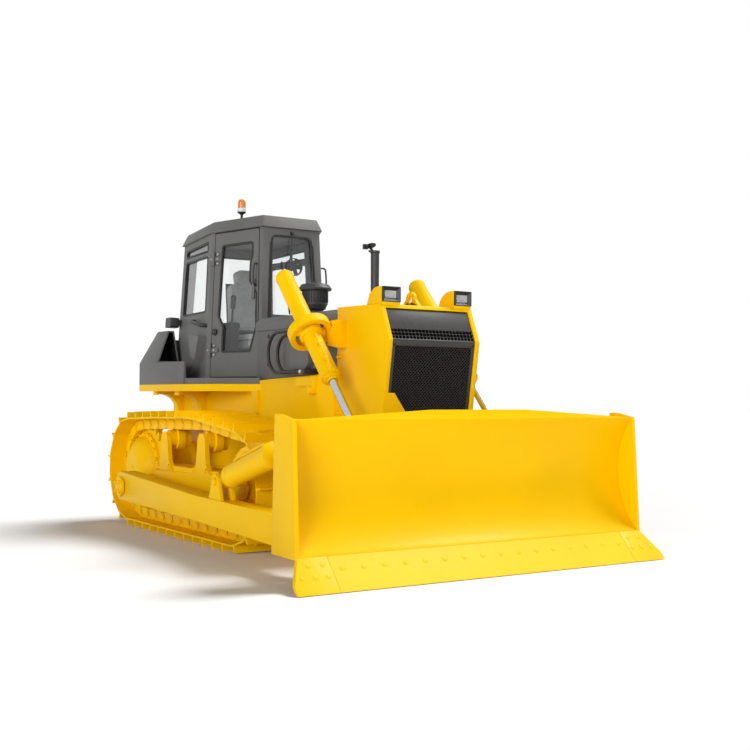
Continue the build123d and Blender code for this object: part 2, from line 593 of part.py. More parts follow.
def wall_top(x):
    """Height of the hull's side wall at x, between the engine wall and the front."""
    share = (x - ENGINE_WALL - 40) / (HULL_FRONT - ENGINE_WALL - 40)
    return SIDE_WALL_REAR + share * (SIDE_WALL_FRONT - SIDE_WALL_REAR)


with BuildPart() as side_panel_right:
    side_plate([(ENGINE_WALL + 60, wall_top(ENGINE_WALL + 60)), (HULL_FRONT, SIDE_WALL_FRONT),
                (HULL_FRONT, HOOD_FLANGE + 40), (ENGINE_WALL + 60, HOOD_FLANGE + 40)], -PANEL_Y,
                -PANEL_Y + 12)
    side_plate([(AXLE_X + 2080, 1545), (AXLE_X + 2480, 1545), (AXLE_X + 2480, 1850), (AXLE_X + 2080, 1850)],
               -BULGE_OUT, -PANEL_Y, radius=90)

with BuildPart() as engine_side_panels:
    both_sides(side_panel_right.part)

# Hoses beside the engine, from one pair of fittings to the other
HOSE_RADIUS = 15.0
FITTING_X = AXLE_X + 2520.0
FITTING_OUT = 596.0
HOSE_Y = (576.0, 534.0)
HOSE_TOP = (1872.0, 1842.0)
HOSE_LOOP = (AXLE_X + 2060.0, AXLE_X + 2140.0)
HOSE_LOW = (1516.0, 1524.0)
with BuildPart() as hose_fittings:
    block(FITTING_X, FITTING_X + 60, -FITTING_OUT, -PANEL_Y, 1816, 1896)
    block(FITTING_X, FITTING_X + 60, -FITTING_OUT, -PANEL_Y, 1495, 1545)


def hose_route(y, loop_x, top, low):
    """Points of a hose's route: back from the upper fitting,
    round a half turn and forward to the lower one."""
    middle = (top + low) / 2
    half = (top - low) / 2
    corner = half * tan(pi / 8)
    upper = [(FITTING_X, -y, top), (FITTING_X - 150, -y, top), (loop_x + corner * 1.2, -y - 4, top + 3),
             (loop_x - corner, -y, top), (loop_x - half, -y, middle + corner)]
    return upper + [(x, py, 2 * middle - z) for x, py, z in reversed(upper)]


def bend_radii(points):
    """Bend radius at each inner point, from the shorter run beside it."""
    radii = []
    for before, point, after in zip(points, points[1:], points[2:]):
        first = Vector(*point) - Vector(*before)
        second = Vector(*after) - Vector(*point)
        turn = radians(first.get_angle(second))
        radii.append(0.45 * min(first.length, second.length) / tan(turn / 2))
    return radii


def hose(points):
    """A round hose along its route."""
    radii = bend_radii(points)
    print("hose bend radii", [round(radius) for radius in radii])
    with BuildLine() as route:
        FilletPolyline(*points, radius=radii)
    start = Vector(*points[1]) - Vector(*points[0])
    with BuildSketch(Plane(points[0], z_dir=start)) as ring:
        Circle(HOSE_RADIUS)
    sweep(ring.sketch, path=route.wire())
    print("hose length", round(route.wire().length))


hose_routes = [hose_route(*sizes) for sizes in zip(HOSE_Y, HOSE_LOOP, HOSE_TOP, HOSE_LOW)]
with BuildPart() as lift_hose_outer:
    hose(hose_routes[0])

with BuildPart() as lift_hose_inner:
    hose(hose_routes[1])

# Exhaust stack with its rain cap, and the air pre-cleaner
HOOD_TOP = GUARD_TOP - 8
STACK = (AXLE_X + 2770.0, -10.0)
with BuildPart() as exhaust_stack:
    upright(*STACK, [(0, HOOD_TOP), (85, HOOD_TOP), (85, HOOD_TOP + 14), (58, HOOD_TOP + 14), (58, 2330),
                     (66, 2330),
                     (66, 2360), (48, 2362), (48, 2570), (42, 2570), (42, 2380), (0, 2380)])
    with BuildSketch(Plane((STACK[0] - 48, STACK[1], 2560), x_dir=(0, 1, 0),
                           z_dir=(0.7, 0, 0.72))) as rain_cap:
        with Locations((0, 56)):
            Circle(60)
        with Locations((0, -42)):
            Rectangle(34, 86)
    extrude(amount=10)

CLEANER = (AXLE_X + 1890.0, -100.0)
with BuildPart() as pre_cleaner:
    upright(*CLEANER, [(0, HOOD_TOP), (70, HOOD_TOP), (70, 2095), (98, 2112), (112, 2150), (114, 2280),
                       (150, 2284),
                       (150, 2306), (128, 2338), (80, 2350), (0, 2352)])

# Cylinder yokes: a ring round each lift cylinder, on an arm from the guard's side
lift_run = (ROD_EYE[0] - LIFT_PIN[0], ROD_EYE[1] - LIFT_PIN[1])
lift_length = hypot(*lift_run)
lift_dir = (lift_run[0] / lift_length, lift_run[1] / lift_length)


def on_lift_axis(distance):
    """Point (x, z) on the lift cylinder's axis, this far ahead of its trunnion."""
    return (LIFT_PIN[0] + distance * lift_dir[0], LIFT_PIN[1] + distance * lift_dir[1])


yoke_start = on_lift_axis(-YOKE_WIDTH / 2)
with BuildPart() as yoke_right:
    rod_between(yoke_start, on_lift_axis(YOKE_WIDTH / 2), -LIFT_Y, YOKE_RIM)
    side_plate([(LIFT_PIN[0] - 70, LIFT_PIN[1] - 90), (LIFT_PIN[0] + 180, LIFT_PIN[1] - 130),
                (LIFT_PIN[0] + 180, LIFT_PIN[1] + 100), (LIFT_PIN[0] + 20, LIFT_PIN[1] + 90)],
               -LIFT_Y + YOKE_RIM - 30, -GUARD_HALF)
    block(LIFT_PIN[0] - 120, HULL_FRONT, -LIFT_Y, -GUARD_HALF + 1, LIFT_PIN[1] - 140, LIFT_PIN[1] + 140,
          Mode.SUBTRACT)
    rod_between(yoke_start, on_lift_axis(YOKE_WIDTH / 2), -LIFT_Y, YOKE_RIM)
    rod_between(on_lift_axis(-200), on_lift_axis(200), -LIFT_Y, YOKE_BORE, Mode.SUBTRACT)
    cross_bar(*LIFT_PIN, TRUNNION_PIN + RUN_GAP, -LIFT_Y - YOKE_RIM - 5, -LIFT_Y + YOKE_RIM + 60,
              Mode.SUBTRACT)

with BuildPart() as cylinder_yokes:
    both_sides(yoke_right.part)

# Lift cylinders: hollow barrel with trunnion pins, and rod with its eye
with BuildPart() as lift_barrel_right:
    rod_between(on_lift_axis(-BARREL_BEHIND), on_lift_axis(BARREL_AHEAD), -LIFT_Y, BARREL_RADIUS)
    rod_between(on_lift_axis(BARREL_AHEAD - 60), on_lift_axis(BARREL_AHEAD), -LIFT_Y, BARREL_RADIUS + 8)
    rod_between(on_lift_axis(-BARREL_BEHIND), on_lift_axis(-BARREL_BEHIND + 40), -LIFT_Y, BARREL_RADIUS + 6)
    cross_bar(*LIFT_PIN, TRUNNION_PIN, -LIFT_Y - YOKE_RIM + 4, -LIFT_Y + YOKE_RIM - 4)
    rod_between(on_lift_axis(-BARREL_BEHIND + 40), on_lift_axis(BARREL_AHEAD - 60), -LIFT_Y, BARREL_BORE,
                Mode.SUBTRACT)
    rod_between(on_lift_axis(0), on_lift_axis(BARREL_AHEAD + 10), -LIFT_Y, ROD_RADIUS + RUN_GAP,
                Mode.SUBTRACT)

with BuildPart() as lift_barrel_left:
    add(mirror(lift_barrel_right.part, about=Plane.XZ))

with BuildPart() as lift_rod_right:
    rod_between(on_lift_axis(BARREL_AHEAD - ROD_INSIDE), on_lift_axis(lift_length), -LIFT_Y, ROD_RADIUS)
    rod_between(on_lift_axis(BARREL_AHEAD - ROD_INSIDE), on_lift_axis(BARREL_AHEAD - ROD_INSIDE + 50),
                -LIFT_Y,
                BARREL_BORE - RUN_GAP)
    cross_bar(*ROD_EYE, EYE_RADIUS, -LIFT_Y - EYE_HALF, -LIFT_Y + EYE_HALF)

with BuildPart() as lift_rod_left:
    add(mirror(lift_rod_right.part, about=Plane.XZ))

# Blade: curved board with a crowned top
board_chord = ((BOARD_TOP_X, BLADE_TOP), BOARD_DEEP, EDGE_TOP)


def circle_through(first, second, third):
    """Centre (x, z) and radius of the circle through three points."""
    ax, az = first
    bx, bz = second
    cx, cz = third
    d = 2 * (ax * (bz - cz) + bx * (cz - az) + cx * (az - bz))
    ux = ((ax**2 + az**2) * (bz - cz) + (bx**2 + bz**2) * (cz - az) + (cx**2 + cz**2) * (az - bz)) / d
    uz = ((ax**2 + az**2) * (cx - bx) + (bx**2 + bz**2) * (ax - cx) + (cx**2 + cz**2) * (bx - ax)) / d
    return (ux, uz), hypot(ax - ux, az - uz)


board_centre, board_radius = circle_through(*board_chord)


def board_x(z, extra=0.0):
    """X of the board's front face at z, or of the face extra behind it."""
    return board_centre[0] - sqrt((board_radius + extra) ** 2 - (z - board_centre[1]) ** 2)


def board_profile(extra, y0, y1):
    """Board section from its top to its lower lip, between the front face and the face extra behind."""
    top, low = BLADE_TOP, EDGE_TOP[1]
    mid = board_centre[1]
    with BuildSketch(Plane.XZ.offset(-y1)) as section:
        with BuildLine():
            ThreePointArc((board_x(top), top), (board_x(mid), mid), (board_x(low), low))
            Line((board_x(low), low), (board_x(low, extra), low))
            ThreePointArc((board_x(low, extra), low), (board_x(mid, extra), mid),
                          (board_x(top, extra), top))
            Line((board_x(top, extra), top), (board_x(top), top))
        make_face()
    extrude(section.sketch, amount=y1 - y0)


with BuildPart() as moldboard:
    board_profile(BOARD_THICK, -BLADE_HALF, BLADE_HALF)
    with BuildSketch(Plane.YZ.offset(board_x(BLADE_TOP, BOARD_THICK))) as crown:
        with BuildLine():
            Polyline((-BLADE_HALF, BLADE_TOP), (BLADE_HALF, BLADE_TOP),
                     (0.28 * BLADE_HALF, BLADE_TOP + CROWN),
                     (-0.28 * BLADE_HALF, BLADE_TOP + CROWN), close=True)
        make_face()
    extrude(amount=BOARD_THICK)

# Back frame of the blade: beams, ribs and the ears for rods, arms and struts
EAR_THICK = 26.0
EAR_IN = EYE_HALF + 6
STRUT_EYE_TOP = (BLADE_BACK - 75.0, 985.0)
STRUT_EYE_LOW = (BLADE_BACK - 1375.0, 615.0)
STRUT_HALF = 38.0
with BuildPart() as blade_frame:
    with BuildSketch(Plane.XZ.offset(-BLADE_HALF)) as back_section:
        with BuildLine():
            low = EDGE_TOP[1]
            mid = board_centre[1]
            ThreePointArc((board_x(BLADE_TOP, BOARD_THICK), BLADE_TOP), (board_x(mid, BOARD_THICK), mid),
                          (board_x(low, BOARD_THICK), low))
            Polyline((board_x(low, BOARD_THICK), low), (EDGE_TOP[0] - 60, low - 25), (BLADE_BACK + 15, 214),
                     (BLADE_BACK, 260), (BLADE_BACK, 1090), (BLADE_BACK + 55, BLADE_TOP),
                     (board_x(BLADE_TOP, BOARD_THICK), BLADE_TOP))
        make_face()
    extrude(amount=2 * BLADE_HALF)
    pockets = [(200, LIFT_Y - 90), (LIFT_Y + 90, ARM_Y - 105), (ARM_Y + 105, BLADE_HALF - 30)]
    for near, far in pockets:
        block(BLADE_BACK - 1, FRONT_X, near, far, 440, 900, Mode.SUBTRACT)
        block(BLADE_BACK - 1, FRONT_X, -far, -near, 440, 900, Mode.SUBTRACT)
    for lift_y in (-LIFT_Y, LIFT_Y):
        for ear in (-EAR_IN - EAR_THICK, EAR_IN):
            side_plate([(BLADE_BACK + 5, ROD_EYE[1] - 190), (BLADE_BACK + 5, ROD_EYE[1] + 190),
                        (ROD_EYE[0] - 10, ROD_EYE[1] + 75), (ROD_EYE[0] - 70, ROD_EYE[1] + 30),
                        (ROD_EYE[0] - 70, ROD_EYE[1] - 40), (ROD_EYE[0] - 20, ROD_EYE[1] - 80)],
                       lift_y + ear, lift_y + ear + EAR_THICK)
        for boss in (-EAR_IN - EAR_THICK - 14, EAR_IN + EAR_THICK):
            cross_bar(*ROD_EYE, 40, lift_y + boss, lift_y + boss + 14)
    for arm_y in (-ARM_Y, ARM_Y):
        for ear in (-ARM_HALF - 30, ARM_HALF + 2):
            side_plate([(BLADE_BACK + 5, 216), (BLADE_BACK + 5, 450), (ARM_EYE[0] - 60, ARM_EYE[1] + 95),
                        (ARM_EYE[0] - 110, ARM_EYE[1]), (ARM_EYE[0] - 60, ARM_EYE[1] - 95)],
                       arm_y + ear, arm_y + ear + 28)
            cross_bar(*ARM_EYE, 50 + RUN_GAP, arm_y + ear, arm_y + ear + 28, Mode.SUBTRACT)
        for ear in (-STRUT_HALF - 26, STRUT_HALF + 2):
            side_plate([(BLADE_BACK + 5, 905), (BLADE_BACK + 5, 1085),
                        (STRUT_EYE_TOP[0] - 20, STRUT_EYE_TOP[1] + 65),
                        (STRUT_EYE_TOP[0] - 65, STRUT_EYE_TOP[1]),
                        (STRUT_EYE_TOP[0] - 30, STRUT_EYE_TOP[1] - 60)],
                       arm_y + ear, arm_y + ear + 24)
            cross_bar(*STRUT_EYE_TOP, 32 + RUN_GAP, arm_y + ear, arm_y + ear + 24, Mode.SUBTRACT)

# End plates, cutting edge and end bits
EDGE_SPLIT = BLADE_HALF - 210.0
EDGE_THICK = 28.0
edge_run = hypot(FRONT_X - EDGE_TOP[0], EDGE_TOP[1] - EDGE_LIFT)
edge_dir = ((FRONT_X - EDGE_TOP[0]) / edge_run, (EDGE_LIFT - EDGE_TOP[1]) / edge_run)
edge_back = (EDGE_TOP[0] + EDGE_THICK * edge_dir[1], EDGE_TOP[1] - EDGE_THICK * edge_dir[0])
edge_heel = (edge_back[0] + (edge_back[1] - EDGE_LIFT) * edge_dir[0] / -edge_dir[1], EDGE_LIFT)
with BuildPart() as blade_end_plates:
    end_outline = [(BLADE_BACK + 10, 212), (BLADE_BACK + 45, 1184), (BLADE_BACK + 130, 1184),
                   (BOARD_TOP_X + 4, BLADE_TOP), EDGE_TOP, edge_back]
    side_plate(end_outline, -BLADE_HALF - END_PLATE, -BLADE_HALF)
    side_plate(end_outline, BLADE_HALF, BLADE_HALF + END_PLATE)

edge_outline = [EDGE_TOP, (FRONT_X, EDGE_LIFT), edge_heel, edge_back]
with BuildPart() as cutting_edge:
    side_plate(edge_outline, -EDGE_SPLIT, EDGE_SPLIT)

with BuildPart() as end_bit_right:
    side_plate(edge_outline, -BLADE_WIDTH / 2, -EDGE_SPLIT - 3)
    with BuildSketch(Plane.YZ.offset(EDGE_TOP[0] - 60)) as flare:
        with BuildLine():
            Polyline((-BLADE_WIDTH / 2 - 1, 60), (-BLADE_WIDTH / 2 - 1, 300),
                     (-BLADE_HALF - END_PLATE, 300),
                     (-BLADE_HALF - END_PLATE, EDGE_TOP[1] - 20), close=True)
        make_face()
    extrude(amount=400, mode=Mode.SUBTRACT)

with BuildPart() as end_bits:
    both_sides(end_bit_right.part)

# Push arms with their front eyes and strut lugs
with BuildPart() as push_arm_right:
    side_plate([(ARM_PIVOT[0] - 70, ARM_PIVOT[1] - 130), (ARM_MIDDLE, 268),
                (ARM_EYE[0] - 60, ARM_EYE[1] - 118),
                (ARM_EYE[0] + 40, ARM_EYE[1] - 90), (ARM_EYE[0] + 90, ARM_EYE[1]),
                (ARM_EYE[0] + 40, ARM_EYE[1] + 90),
                (ARM_EYE[0] - 60, ARM_EYE[1] + 118), (ARM_MIDDLE, 475),
                (ARM_PIVOT[0] - 70, ARM_PIVOT[1] + 140),
                (ARM_PIVOT[0] - 145, ARM_PIVOT[1] + 60), (ARM_PIVOT[0] - 145, ARM_PIVOT[1] - 60)],
               -ARM_Y - ARM_HALF, -ARM_Y + ARM_HALF)
    cross_bar(*ARM_PIVOT, TRUNNION_RADIUS + RUN_GAP, -ARM_Y - ARM_HALF, -ARM_Y + ARM_HALF, Mode.SUBTRACT)
    cross_bar(*ARM_EYE, 50, -ARM_Y - ARM_HALF - 45, -ARM_Y + ARM_HALF + 45)
    for ear in (-STRUT_HALF - 28, STRUT_HALF + 2):
        side_plate([(STRUT_EYE_LOW[0] - 130, 445), (STRUT_EYE_LOW[0] + 130, 435),
                    (STRUT_EYE_LOW[0] + 55, 645),
                    (STRUT_EYE_LOW[0], 680), (STRUT_EYE_LOW[0] - 55, 645)], -ARM_Y + ear, -ARM_Y + ear + 26)
        cross_bar(*STRUT_EYE_LOW, 32 + RUN_GAP, -ARM_Y + ear, -ARM_Y + ear + 26, Mode.SUBTRACT)

with BuildPart() as push_arms:
    both_sides(push_arm_right.part)

# Struts from arm to blade: a tilt cylinder on the right, a screw brace on the left
with BuildPart() as tilt_cylinder:
    rod_between(STRUT_EYE_LOW, STRUT_EYE_TOP, -ARM_Y, STRUT_HALF - 2)
    rod_between(along(STRUT_EYE_LOW, STRUT_EYE_TOP, 0.14), along(STRUT_EYE_LOW, STRUT_EYE_TOP, 0.68),
                -ARM_Y, 92)
    rod_between(along(STRUT_EYE_LOW, STRUT_EYE_TOP, 0.64), along(STRUT_EYE_LOW, STRUT_EYE_TOP, 0.69),
                -ARM_Y, 100)
    for eye in (STRUT_EYE_LOW, STRUT_EYE_TOP):
        cross_bar(*eye, 62, -ARM_Y - STRUT_HALF, -ARM_Y + STRUT_HALF)
        cross_bar(*eye, 32, -ARM_Y - STRUT_HALF - 40, -ARM_Y + STRUT_HALF + 40)

with BuildPart() as blade_brace:
    rod_between(STRUT_EYE_LOW, STRUT_EYE_TOP, ARM_Y, STRUT_HALF - 2)
    rod_between(along(STRUT_EYE_LOW, STRUT_EYE_TOP, 0.3), along(STRUT_EYE_LOW, STRUT_EYE_TOP, 0.7),
                ARM_Y, 70)
    for eye in (STRUT_EYE_LOW, STRUT_EYE_TOP):
        cross_bar(*eye, 62, ARM_Y - STRUT_HALF, ARM_Y + STRUT_HALF)
        cross_bar(*eye, 32, ARM_Y - STRUT_HALF - 40, ARM_Y + STRUT_HALF + 40)

# Cab shell: six tapered walls, split at the pillars
cab_plan = [CAB_FRONT, CAB_MIDDLE, CAB_REAR, (CAB_REAR[0], -CAB_REAR[1]), (CAB_MIDDLE[0], -CAB_MIDDLE[1]),
            (CAB_FRONT[0], -CAB_FRONT[1])]
roof_plane = Plane((CAB_FRONT[0], 0, ROOF_FRONT_Z),
                   x_dir=(cos(radians(ROOF_SLOPE)), 0, sin(radians(ROOF_SLOPE))),
                   z_dir=(-sin(radians(ROOF_SLOPE)), 0, cos(radians(ROOF_SLOPE))))
with BuildPart() as cab_shell:
    with BuildSketch(Plane.XY.offset(CAB_FLOOR)) as cab_outside:
        with BuildLine():
            Polyline(*cab_plan, close=True)
        make_face()
    extrude(amount=1620, taper=CAB_TAPER)
    with BuildSketch(Plane.XY.offset(CAB_FLOOR)) as cab_inside:
        with BuildLine():
            Polyline(*cab_plan, close=True)
        make_face()
        offset(amount=-CAB_WALL, kind=Kind.INTERSECTION)
    extrude(amount=1620, taper=CAB_TAPER, mode=Mode.SUBTRACT)
    split(bisect_by=roof_plane, keep=Keep.BOTTOM)


def wall_plane(start, end):
    """Plane on a wall's outside: x along its foot, y up the wall and z outward."""
    run = hypot(end[0] - start[0], end[1] - start[1])
    ux, uy = (end[0] - start[0]) / run, (end[1] - start[1]) / run
    lean = radians(CAB_TAPER)
    return Plane((start[0], start[1], CAB_FLOOR), x_dir=(ux, uy, 0),
                 z_dir=(uy * cos(lean), -ux * cos(lean), sin(lean)))


def corner_plane(corner, before, after):
    """Upright plane halving the angle at a corner of the cab, facing along the walk."""
    ax, ay = corner[0] - before[0], corner[1] - before[1]
    bx, by = after[0] - corner[0], after[1] - corner[1]
    return Plane((corner[0], corner[1], CAB_FLOOR), z_dir=(ax / hypot(ax, ay) + bx / hypot(bx, by),
                                                             ay / hypot(ax, ay) + by / hypot(bx, by), 0))


front_right = (CAB_FRONT[0], -CAB_FRONT[1])
middle_right = (CAB_MIDDLE[0], -CAB_MIDDLE[1])
rear_right = (CAB_REAR[0], -CAB_REAR[1])
DOOR_RUN = hypot(CAB_FRONT[0] - CAB_MIDDLE[0], CAB_FRONT[1] - CAB_MIDDLE[1])
PILLAR = 42.0
door_plane = wall_plane(middle_right, front_right)
wall_rise = (ROOF_FRONT_Z - CAB_FLOOR) / cos(radians(CAB_TAPER))
taper_in = wall_rise * sin(radians(CAB_TAPER))
turn_middle = atan2(CAB_MIDDLE[1] - CAB_REAR[1], CAB_MIDDLE[0] - CAB_REAR[0]) + atan2(
    CAB_MIDDLE[1] - CAB_FRONT[1], CAB_FRONT[0] - CAB_MIDDLE[0])
turn_front = pi / 2 - atan2(CAB_MIDDLE[1] - CAB_FRONT[1], CAB_FRONT[0] - CAB_MIDDLE[0])
shift_middle = taper_in * tan(turn_middle / 2)
shift_front = taper_in * tan(turn_front / 2)
DOOR_REAR = shift_middle + PILLAR
door_front_low = DOOR_RUN - PILLAR
door_front_high = DOOR_RUN - PILLAR - shift_front


def door_point(u, v):
    """A point on the door wall's outside, in the machine's frame."""
    return door_plane.from_local_coords(Vector(u, v, 0))


# The upright cut at the door's rear edge and the leaning one at its front edge
rear_cut = Plane(door_point(DOOR_REAR, 0), z_dir=door_plane.x_dir)
front_edge = door_point(door_front_high, wall_rise) - door_point(door_front_low, 0)
front_cut = Plane(door_point(door_front_low, 0), z_dir=front_edge.cross(door_plane.z_dir))


def mirrored(plane):
    """The plane's mirror image in the machine's middle plane."""
    return Plane((plane.origin.X, -plane.origin.Y, plane.origin.Z),
                 z_dir=(plane.z_dir.X, -plane.z_dir.Y, plane.z_dir.Z))


front_plane = wall_plane(front_right, CAB_FRONT)
quarter_plane = wall_plane(rear_right, middle_right)
rear_plane = wall_plane(CAB_REAR, rear_right)
FRONT_RUN = 2 * CAB_FRONT[1]
REAR_RUN = 2 * CAB_REAR[1]
QUARTER_RUN = hypot(CAB_MIDDLE[0] - CAB_REAR[0], CAB_MIDDLE[1] - CAB_REAR[1])


def pane(plane, points, radius, depth, thick, mode, grow=0.0):
    """A rounded window outline on a wall plane, cut or filled from depth inward."""
    with BuildSketch(plane.offset(-depth)) as outline:
        with BuildLine():
            Polyline(*points, close=True)
        make_face()
        fillet(outline.vertices(), radius)
        if grow:
            offset(amount=grow)
    extrude(outline.sketch, amount=-thick, mode=mode)


windshield_outline = [(70, 90), (FRONT_RUN - 70, 90), (FRONT_RUN - 135, 1395), (135, 1395)]
quarter_low = [(120, 656), (QUARTER_RUN - 90, 656), (QUARTER_RUN - 104, 1232), (146, 1232)]
quarter_high = [(148, 1266), (QUARTER_RUN - 106, 1266), (QUARTER_RUN - 110, 1378), (152, 1352)]
rear_outline = [(140, 470), (REAR_RUN - 140, 470), (REAR_RUN - 190, 1340), (190, 1340)]
door_floor = 14.0
door_head_rear = (roof_plane.origin.Z - CAB_FLOOR - (CAB_FRONT[0] - CAB_MIDDLE[0]) * tan(radians(ROOF_SLOPE))
                  ) / cos(radians(CAB_TAPER)) - 12
door_head_front = wall_rise - 16
door_width = door_front_low - DOOR_REAR - 2 * DOOR_GAP
door_outline = [(DOOR_REAR + DOOR_GAP + u * door_width,
                 door_floor + v * (door_head_rear - door_floor)) for u, v in (
    (0.215, 0.165), (0.84, 0.165), (0.95, 0.33), (0.94, 0.57), (0.79, 0.66), (0.79, 0.78), (0.83, 0.83),
    (0.82, 0.93),
    (0.147, 0.92), (0.11, 0.42), (0.215, 0.345))]
THROUGH = CAB_WALL + 40

HINGE_OUT = 20.0
HINGE_STATIONS = (275.0, 1180.0)
HINGE_HALF = 66.0
HINGE_KNUCKLE = 17.0
HINGE_PIN = 8.0
HINGE_U = DOOR_REAR + DOOR_GAP / 2


def hinge_bar(v0, v1, radius, mode=Mode.ADD):
    """A round bar on the door's hinge line, from v0 to v1 up the wall."""
    foot = door_plane.from_local_coords(Vector(HINGE_U, v0, HINGE_OUT))
    with BuildSketch(Plane(foot, x_dir=door_plane.x_dir, z_dir=door_plane.y_dir)) as ring:
        Circle(radius)
    extrude(ring.sketch, amount=v1 - v0, mode=mode)


def hinge_piece(v0, v1, u0, u1, thick):
    """One knuckle and its leaf, the leaf lying on the wall from u0 to u1 beside the hinge line."""
    hinge_bar(v0, v1, HINGE_KNUCKLE)
    with BuildSketch(door_plane) as leaf:
        with Locations((HINGE_U + (u0 + u1) / 2, (v0 + v1) / 2)):
            Rectangle(u1 - u0, v1 - v0)
    extrude(leaf.sketch, amount=thick)


with BuildPart() as cab_front:
    add(cab_shell.part)
    split(bisect_by=front_cut, keep=Keep.TOP if front_cut.z_dir.X > 0 else Keep.BOTTOM)
    split(bisect_by=mirrored(front_cut), keep=Keep.TOP if front_cut.z_dir.X > 0 else Keep.BOTTOM)
    pane(front_plane, windshield_outline, 60, -20, THROUGH, Mode.SUBTRACT)

with BuildPart() as cab_side_right:
    add(cab_shell.part)
    split(bisect_by=Plane.XZ, keep=Keep.TOP)
    split(bisect_by=rear_cut, keep=Keep.BOTTOM)
    split(bisect_by=corner_plane(rear_right, CAB_REAR, middle_right), keep=Keep.TOP)
    pane(quarter_plane, quarter_low, 45, -20, THROUGH, Mode.SUBTRACT)
    pane(quarter_plane, quarter_high, 30, -20, THROUGH, Mode.SUBTRACT)
    with BuildSketch(quarter_plane) as duct:
        with BuildLine():
            Polyline((600, 440), (QUARTER_RUN - 30, 415), (QUARTER_RUN - 110, 176), (700, 224), close=True)
        make_face()
    extrude(amount=84)
    for hinge_v in HINGE_STATIONS:
        for low, high in ((-HINGE_HALF, -HINGE_HALF / 3), (HINGE_HALF / 3, HINGE_HALF)):
            hinge_piece(hinge_v + low, hinge_v + high, -40, -6, HINGE_OUT)
        hinge_bar(hinge_v - HINGE_HALF, hinge_v + HINGE_HALF, HINGE_PIN)

with BuildPart() as cab_side_left:
    add(mirror(cab_side_right.part, about=Plane.XZ))

with BuildPart() as cab_rear:
    add(cab_shell.part)
    split(bisect_by=corner_plane(rear_right, CAB_REAR, middle_right), keep=Keep.BOTTOM)
    split(bisect_by=mirrored(corner_plane(rear_right, CAB_REAR, middle_right)), keep=Keep.BOTTOM)
    pane(rear_plane, rear_outline, 60, -20, THROUGH, Mode.SUBTRACT)

GLASS_IN = 14.0
with BuildPart() as quarter_glass_right:
    pane(quarter_plane, quarter_low, 45, GLASS_IN, GLASS, Mode.ADD, -SEAT_GAP)
    pane(quarter_plane, quarter_high, 30, GLASS_IN, GLASS, Mode.ADD, -SEAT_GAP)

with BuildPart() as cab_glass:
    pane(front_plane, windshield_outline, 60, GLASS_IN, GLASS, Mode.ADD, -SEAT_GAP)
    pane(rear_plane, rear_outline, 60, GLASS_IN, GLASS, Mode.ADD, -SEAT_GAP)
    both_sides(quarter_glass_right.part)

# Work lamps at the cab's rear corners
with BuildPart() as work_lamp_right:
    with BuildSketch(quarter_plane) as lamp_foot:
        with Locations((75, 595)):
            Rectangle(50, 60)
    extrude(amount=30)
    with BuildSketch(quarter_plane.offset(30)) as lamp_body:
        with Locations((20, 595)):
            Rectangle(180, 104)
        fillet(lamp_body.vertices(), 18)
    extrude(amount=96)

with BuildPart() as work_lamps:
    both_sides(work_lamp_right.part)

# Doors, hinged on the rear pillars
with BuildPart() as door_right:
    with BuildSketch(door_plane) as door_face:
        with BuildLine():
            Polyline((DOOR_REAR + DOOR_GAP, door_floor), (door_front_low - DOOR_GAP, door_floor),
                     (door_front_high - DOOR_GAP, door_head_front),
                     (DOOR_REAR + DOOR_GAP, door_head_rear), close=True)
        make_face()
    extrude(amount=-CAB_WALL)
    pane(door_plane, door_outline, 30, -20, THROUGH, Mode.SUBTRACT)
    with BuildSketch(door_plane) as handle_foot:
        with Locations((DOOR_RUN - 130, 860)):
            Rectangle(34, 190)
    extrude(amount=16)
    for hinge_v in HINGE_STATIONS:
        hinge_piece(hinge_v - HINGE_HALF / 3 + RUN_GAP, hinge_v + HINGE_HALF / 3 - RUN_GAP, 6, 100,
                    HINGE_OUT - 4)
        hinge_bar(hinge_v - HINGE_HALF, hinge_v + HINGE_HALF, HINGE_PIN + RUN_GAP, Mode.SUBTRACT)
    with BuildSketch(door_plane) as knob:
        with Locations((DOOR_REAR + 52, 455)):
            Circle(30)
    extrude(amount=26)

with BuildPart() as door_left:
    add(mirror(door_right.part, about=Plane.XZ))

with BuildPart() as door_glass_right:
    pane(door_plane, door_outline, 30, GLASS_IN, GLASS, Mode.ADD, -SEAT_GAP)

with BuildPart() as door_glass_left:
    add(mirror(door_glass_right.part, about=Plane.XZ))

# Cab base, out to the deck's edge ahead of the boxes
STRIP_INSET = 10.0
with BuildPart() as cab_base:
    with BuildSketch(Plane.XY.offset(DECK_Z + DECK_THICK)) as base_plan:
        with BuildLine():
            Polyline(*cab_plan, close=True)
        make_face()
        offset(amount=25, kind=Kind.INTERSECTION)
    extrude(amount=CAB_BASE)
    for side in (-1, 1):
        plan_plate([(DECK_STRAIGHT, side * (HULL_HALF - 60)),
                    (DECK_STRAIGHT, side * (DECK_OUT - STRIP_INSET)),
                    (DECK_BEND[0], side * (DECK_BEND[1] - STRIP_INSET)),
                    (DECK_FRONT - 2 * STRIP_INSET, side * HULL_HALF),
                    (ENGINE_WALL - STRIP_INSET, side * HULL_HALF),
                    (ENGINE_WALL - STRIP_INSET, side * (HULL_HALF - 60))],
                   DECK_Z + DECK_THICK, CAB_FLOOR)

ROOF_EAVE = 30.0
with BuildPart() as cab_roof:
    with BuildSketch(roof_plane) as roof_plan:
        with BuildLine():
            Polyline(*[(x - CAB_FRONT[0], y) for x, y in cab_plan], close=True)
        make_face()
        offset(amount=ROOF_EAVE - taper_in, kind=Kind.INTERSECTION)
    extrude(amount=ROOF_HEIGHT, taper=ROOF_TAPER)

